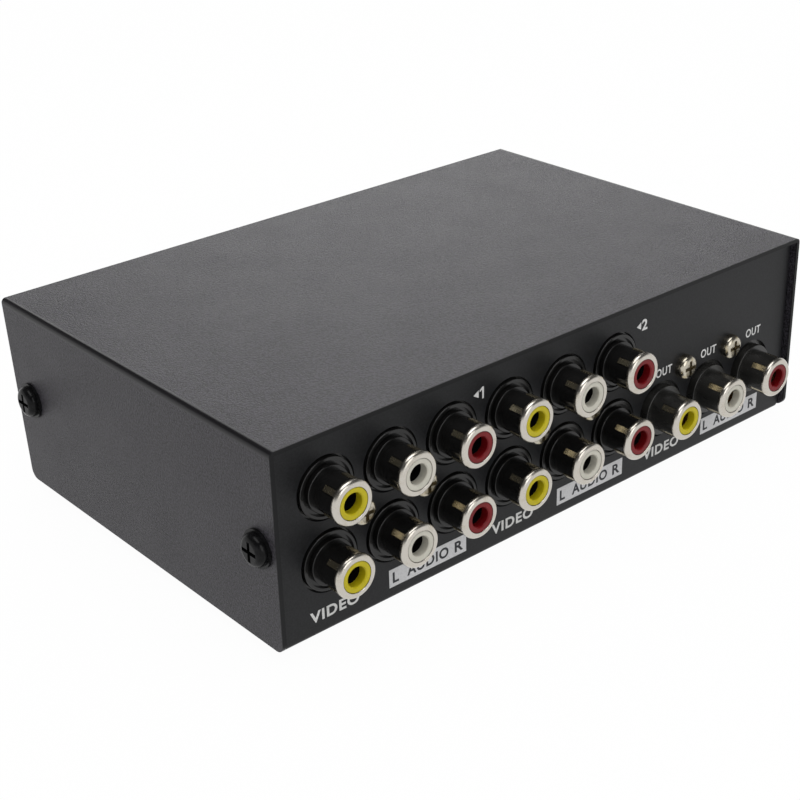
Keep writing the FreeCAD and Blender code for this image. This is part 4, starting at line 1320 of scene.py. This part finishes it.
@dataclass
class Studio:
    """Pale floor, soft light, and the camera at the photograph's place."""

    camera_place: Triple = (190.97 * MM, 223.29 * MM, 156.87 * MM)
    camera_turn: Triple = (63.6302, 1.5645, 139.3000)
    lens: float = 70.57
    sensor: float = 36.0
    clip: Span = (0.01, 20.0)
    floor_reach: float = 3.0
    floor_thick: float = 0.002
    floor_colour: Colour = (0.80, 0.80, 0.80)
    floor_roughness: float = 0.9
    floor_gloss: float = 0.1
    floor_glow: float = 0.97
    sky_rise: Span = (0.10, 0.50)
    sky_light: float = 0.55
    sky_dark: float = 0.07
    aim: Triple = (0.0, 0.0, 0.02)
    lamps: tuple[Lamp, ...] = (
        Lamp("top_box", (0.05, 0.05, 0.80), 0.70, 3.5),
        Lamp("back_box", (-0.69, -0.82, 0.53), 1.00, 3.4),
        Lamp("jack_box", (0.10, 0.80, 0.45), 0.60, 2.0))

    def build(self) -> None:
        """Make the studio."""
        self.add_camera()
        self.add_floor()
        self.add_world()
        self.add_lamps()
        bpy.context.scene.view_settings.view_transform = "Standard"

    def add_camera(self) -> None:
        """Stand the camera where the photograph was taken from."""
        data = bpy.data.cameras.new("camera")
        data.lens = self.lens
        data.sensor_width = self.sensor
        data.clip_start, data.clip_end = self.clip
        camera = stand("camera", data)
        turn = Euler([math.radians(angle) for angle in self.camera_turn])
        camera.matrix_world = Matrix.Translation(self.camera_place) @ turn.to_matrix().to_4x4()
        bpy.context.scene.camera = camera

    def add_floor(self) -> None:
        """Lay a white floor that keeps the object's shadow."""
        mesh = rectangle((2 * self.floor_reach, 2 * self.floor_reach), self.floor_thick)
        mesh.transform(Matrix.Translation((0, 0, -self.floor_thick / 2)))
        floor = stand("floor", mesh)
        shader = Shader("floor")
        shader.set(Base_Color=self.floor_colour, Roughness=self.floor_roughness)
        shader.set(Specular_IOR_Level=self.floor_gloss)
        glow = shader.add("ShaderNodeEmission", {}, {"Color": WHITE, "Strength": 1.0})
        share = self.floor_glow * shader.seen()
        mesh.materials.append(shader.end(shader.cover(share, shader.coat(), glow)))

    def add_world(self) -> None:
        """Surround the object with a white horizon under a darker ceiling, and light it plainly."""
        world = bpy.data.worlds.new("tent")
        bpy.context.scene.world = world
        shader = Shader("tent", world)
        spot = shader.add("ShaderNodeTexCoord", {}, {}, "Generated")
        rise = shader.part(spot, "Z").ramp(*self.sky_rise)
        soft, horizon, ceiling = (
            shader.add("ShaderNodeBackground", {}, {"Color": WHITE, "Strength": strength})
            for strength in (self.sky_light, 1.0, self.sky_dark))
        view = shader.cover(rise, horizon, ceiling)
        shader.end(shader.cover(shader.seen(), soft, view))

    def add_lamps(self) -> None:
        """Hang soft boxes over and beside the object."""
        for lamp in self.lamps:
            data = bpy.data.lights.new(lamp.name, "AREA")
            data.shape = "DISK"
            data.size = lamp.across
            data.energy = lamp.watts
            aim = (Vector(self.aim) - Vector(lamp.place)).normalized()
            turn = aim.to_track_quat("-Z", "Y").to_matrix().to_4x4()
            stand(lamp.name, data).matrix_world = Matrix.Translation(lamp.place) @ turn


def main() -> None:
    """Build the studio and dress the object, sub-assembly by sub-assembly."""
    logging.basicConfig(level=logging.INFO, format="%(message)s")
    Studio().build()
    wardrobe = Wardrobe()
    copies = Copies()
    Case(wardrobe, Printing(wardrobe, copies)).build()
    JackBlocks(wardrobe).build()
    BoardAssembly(wardrobe, copies).build()
    SwitchBank(wardrobe).build()


if __name__ == "__main__":
    main()
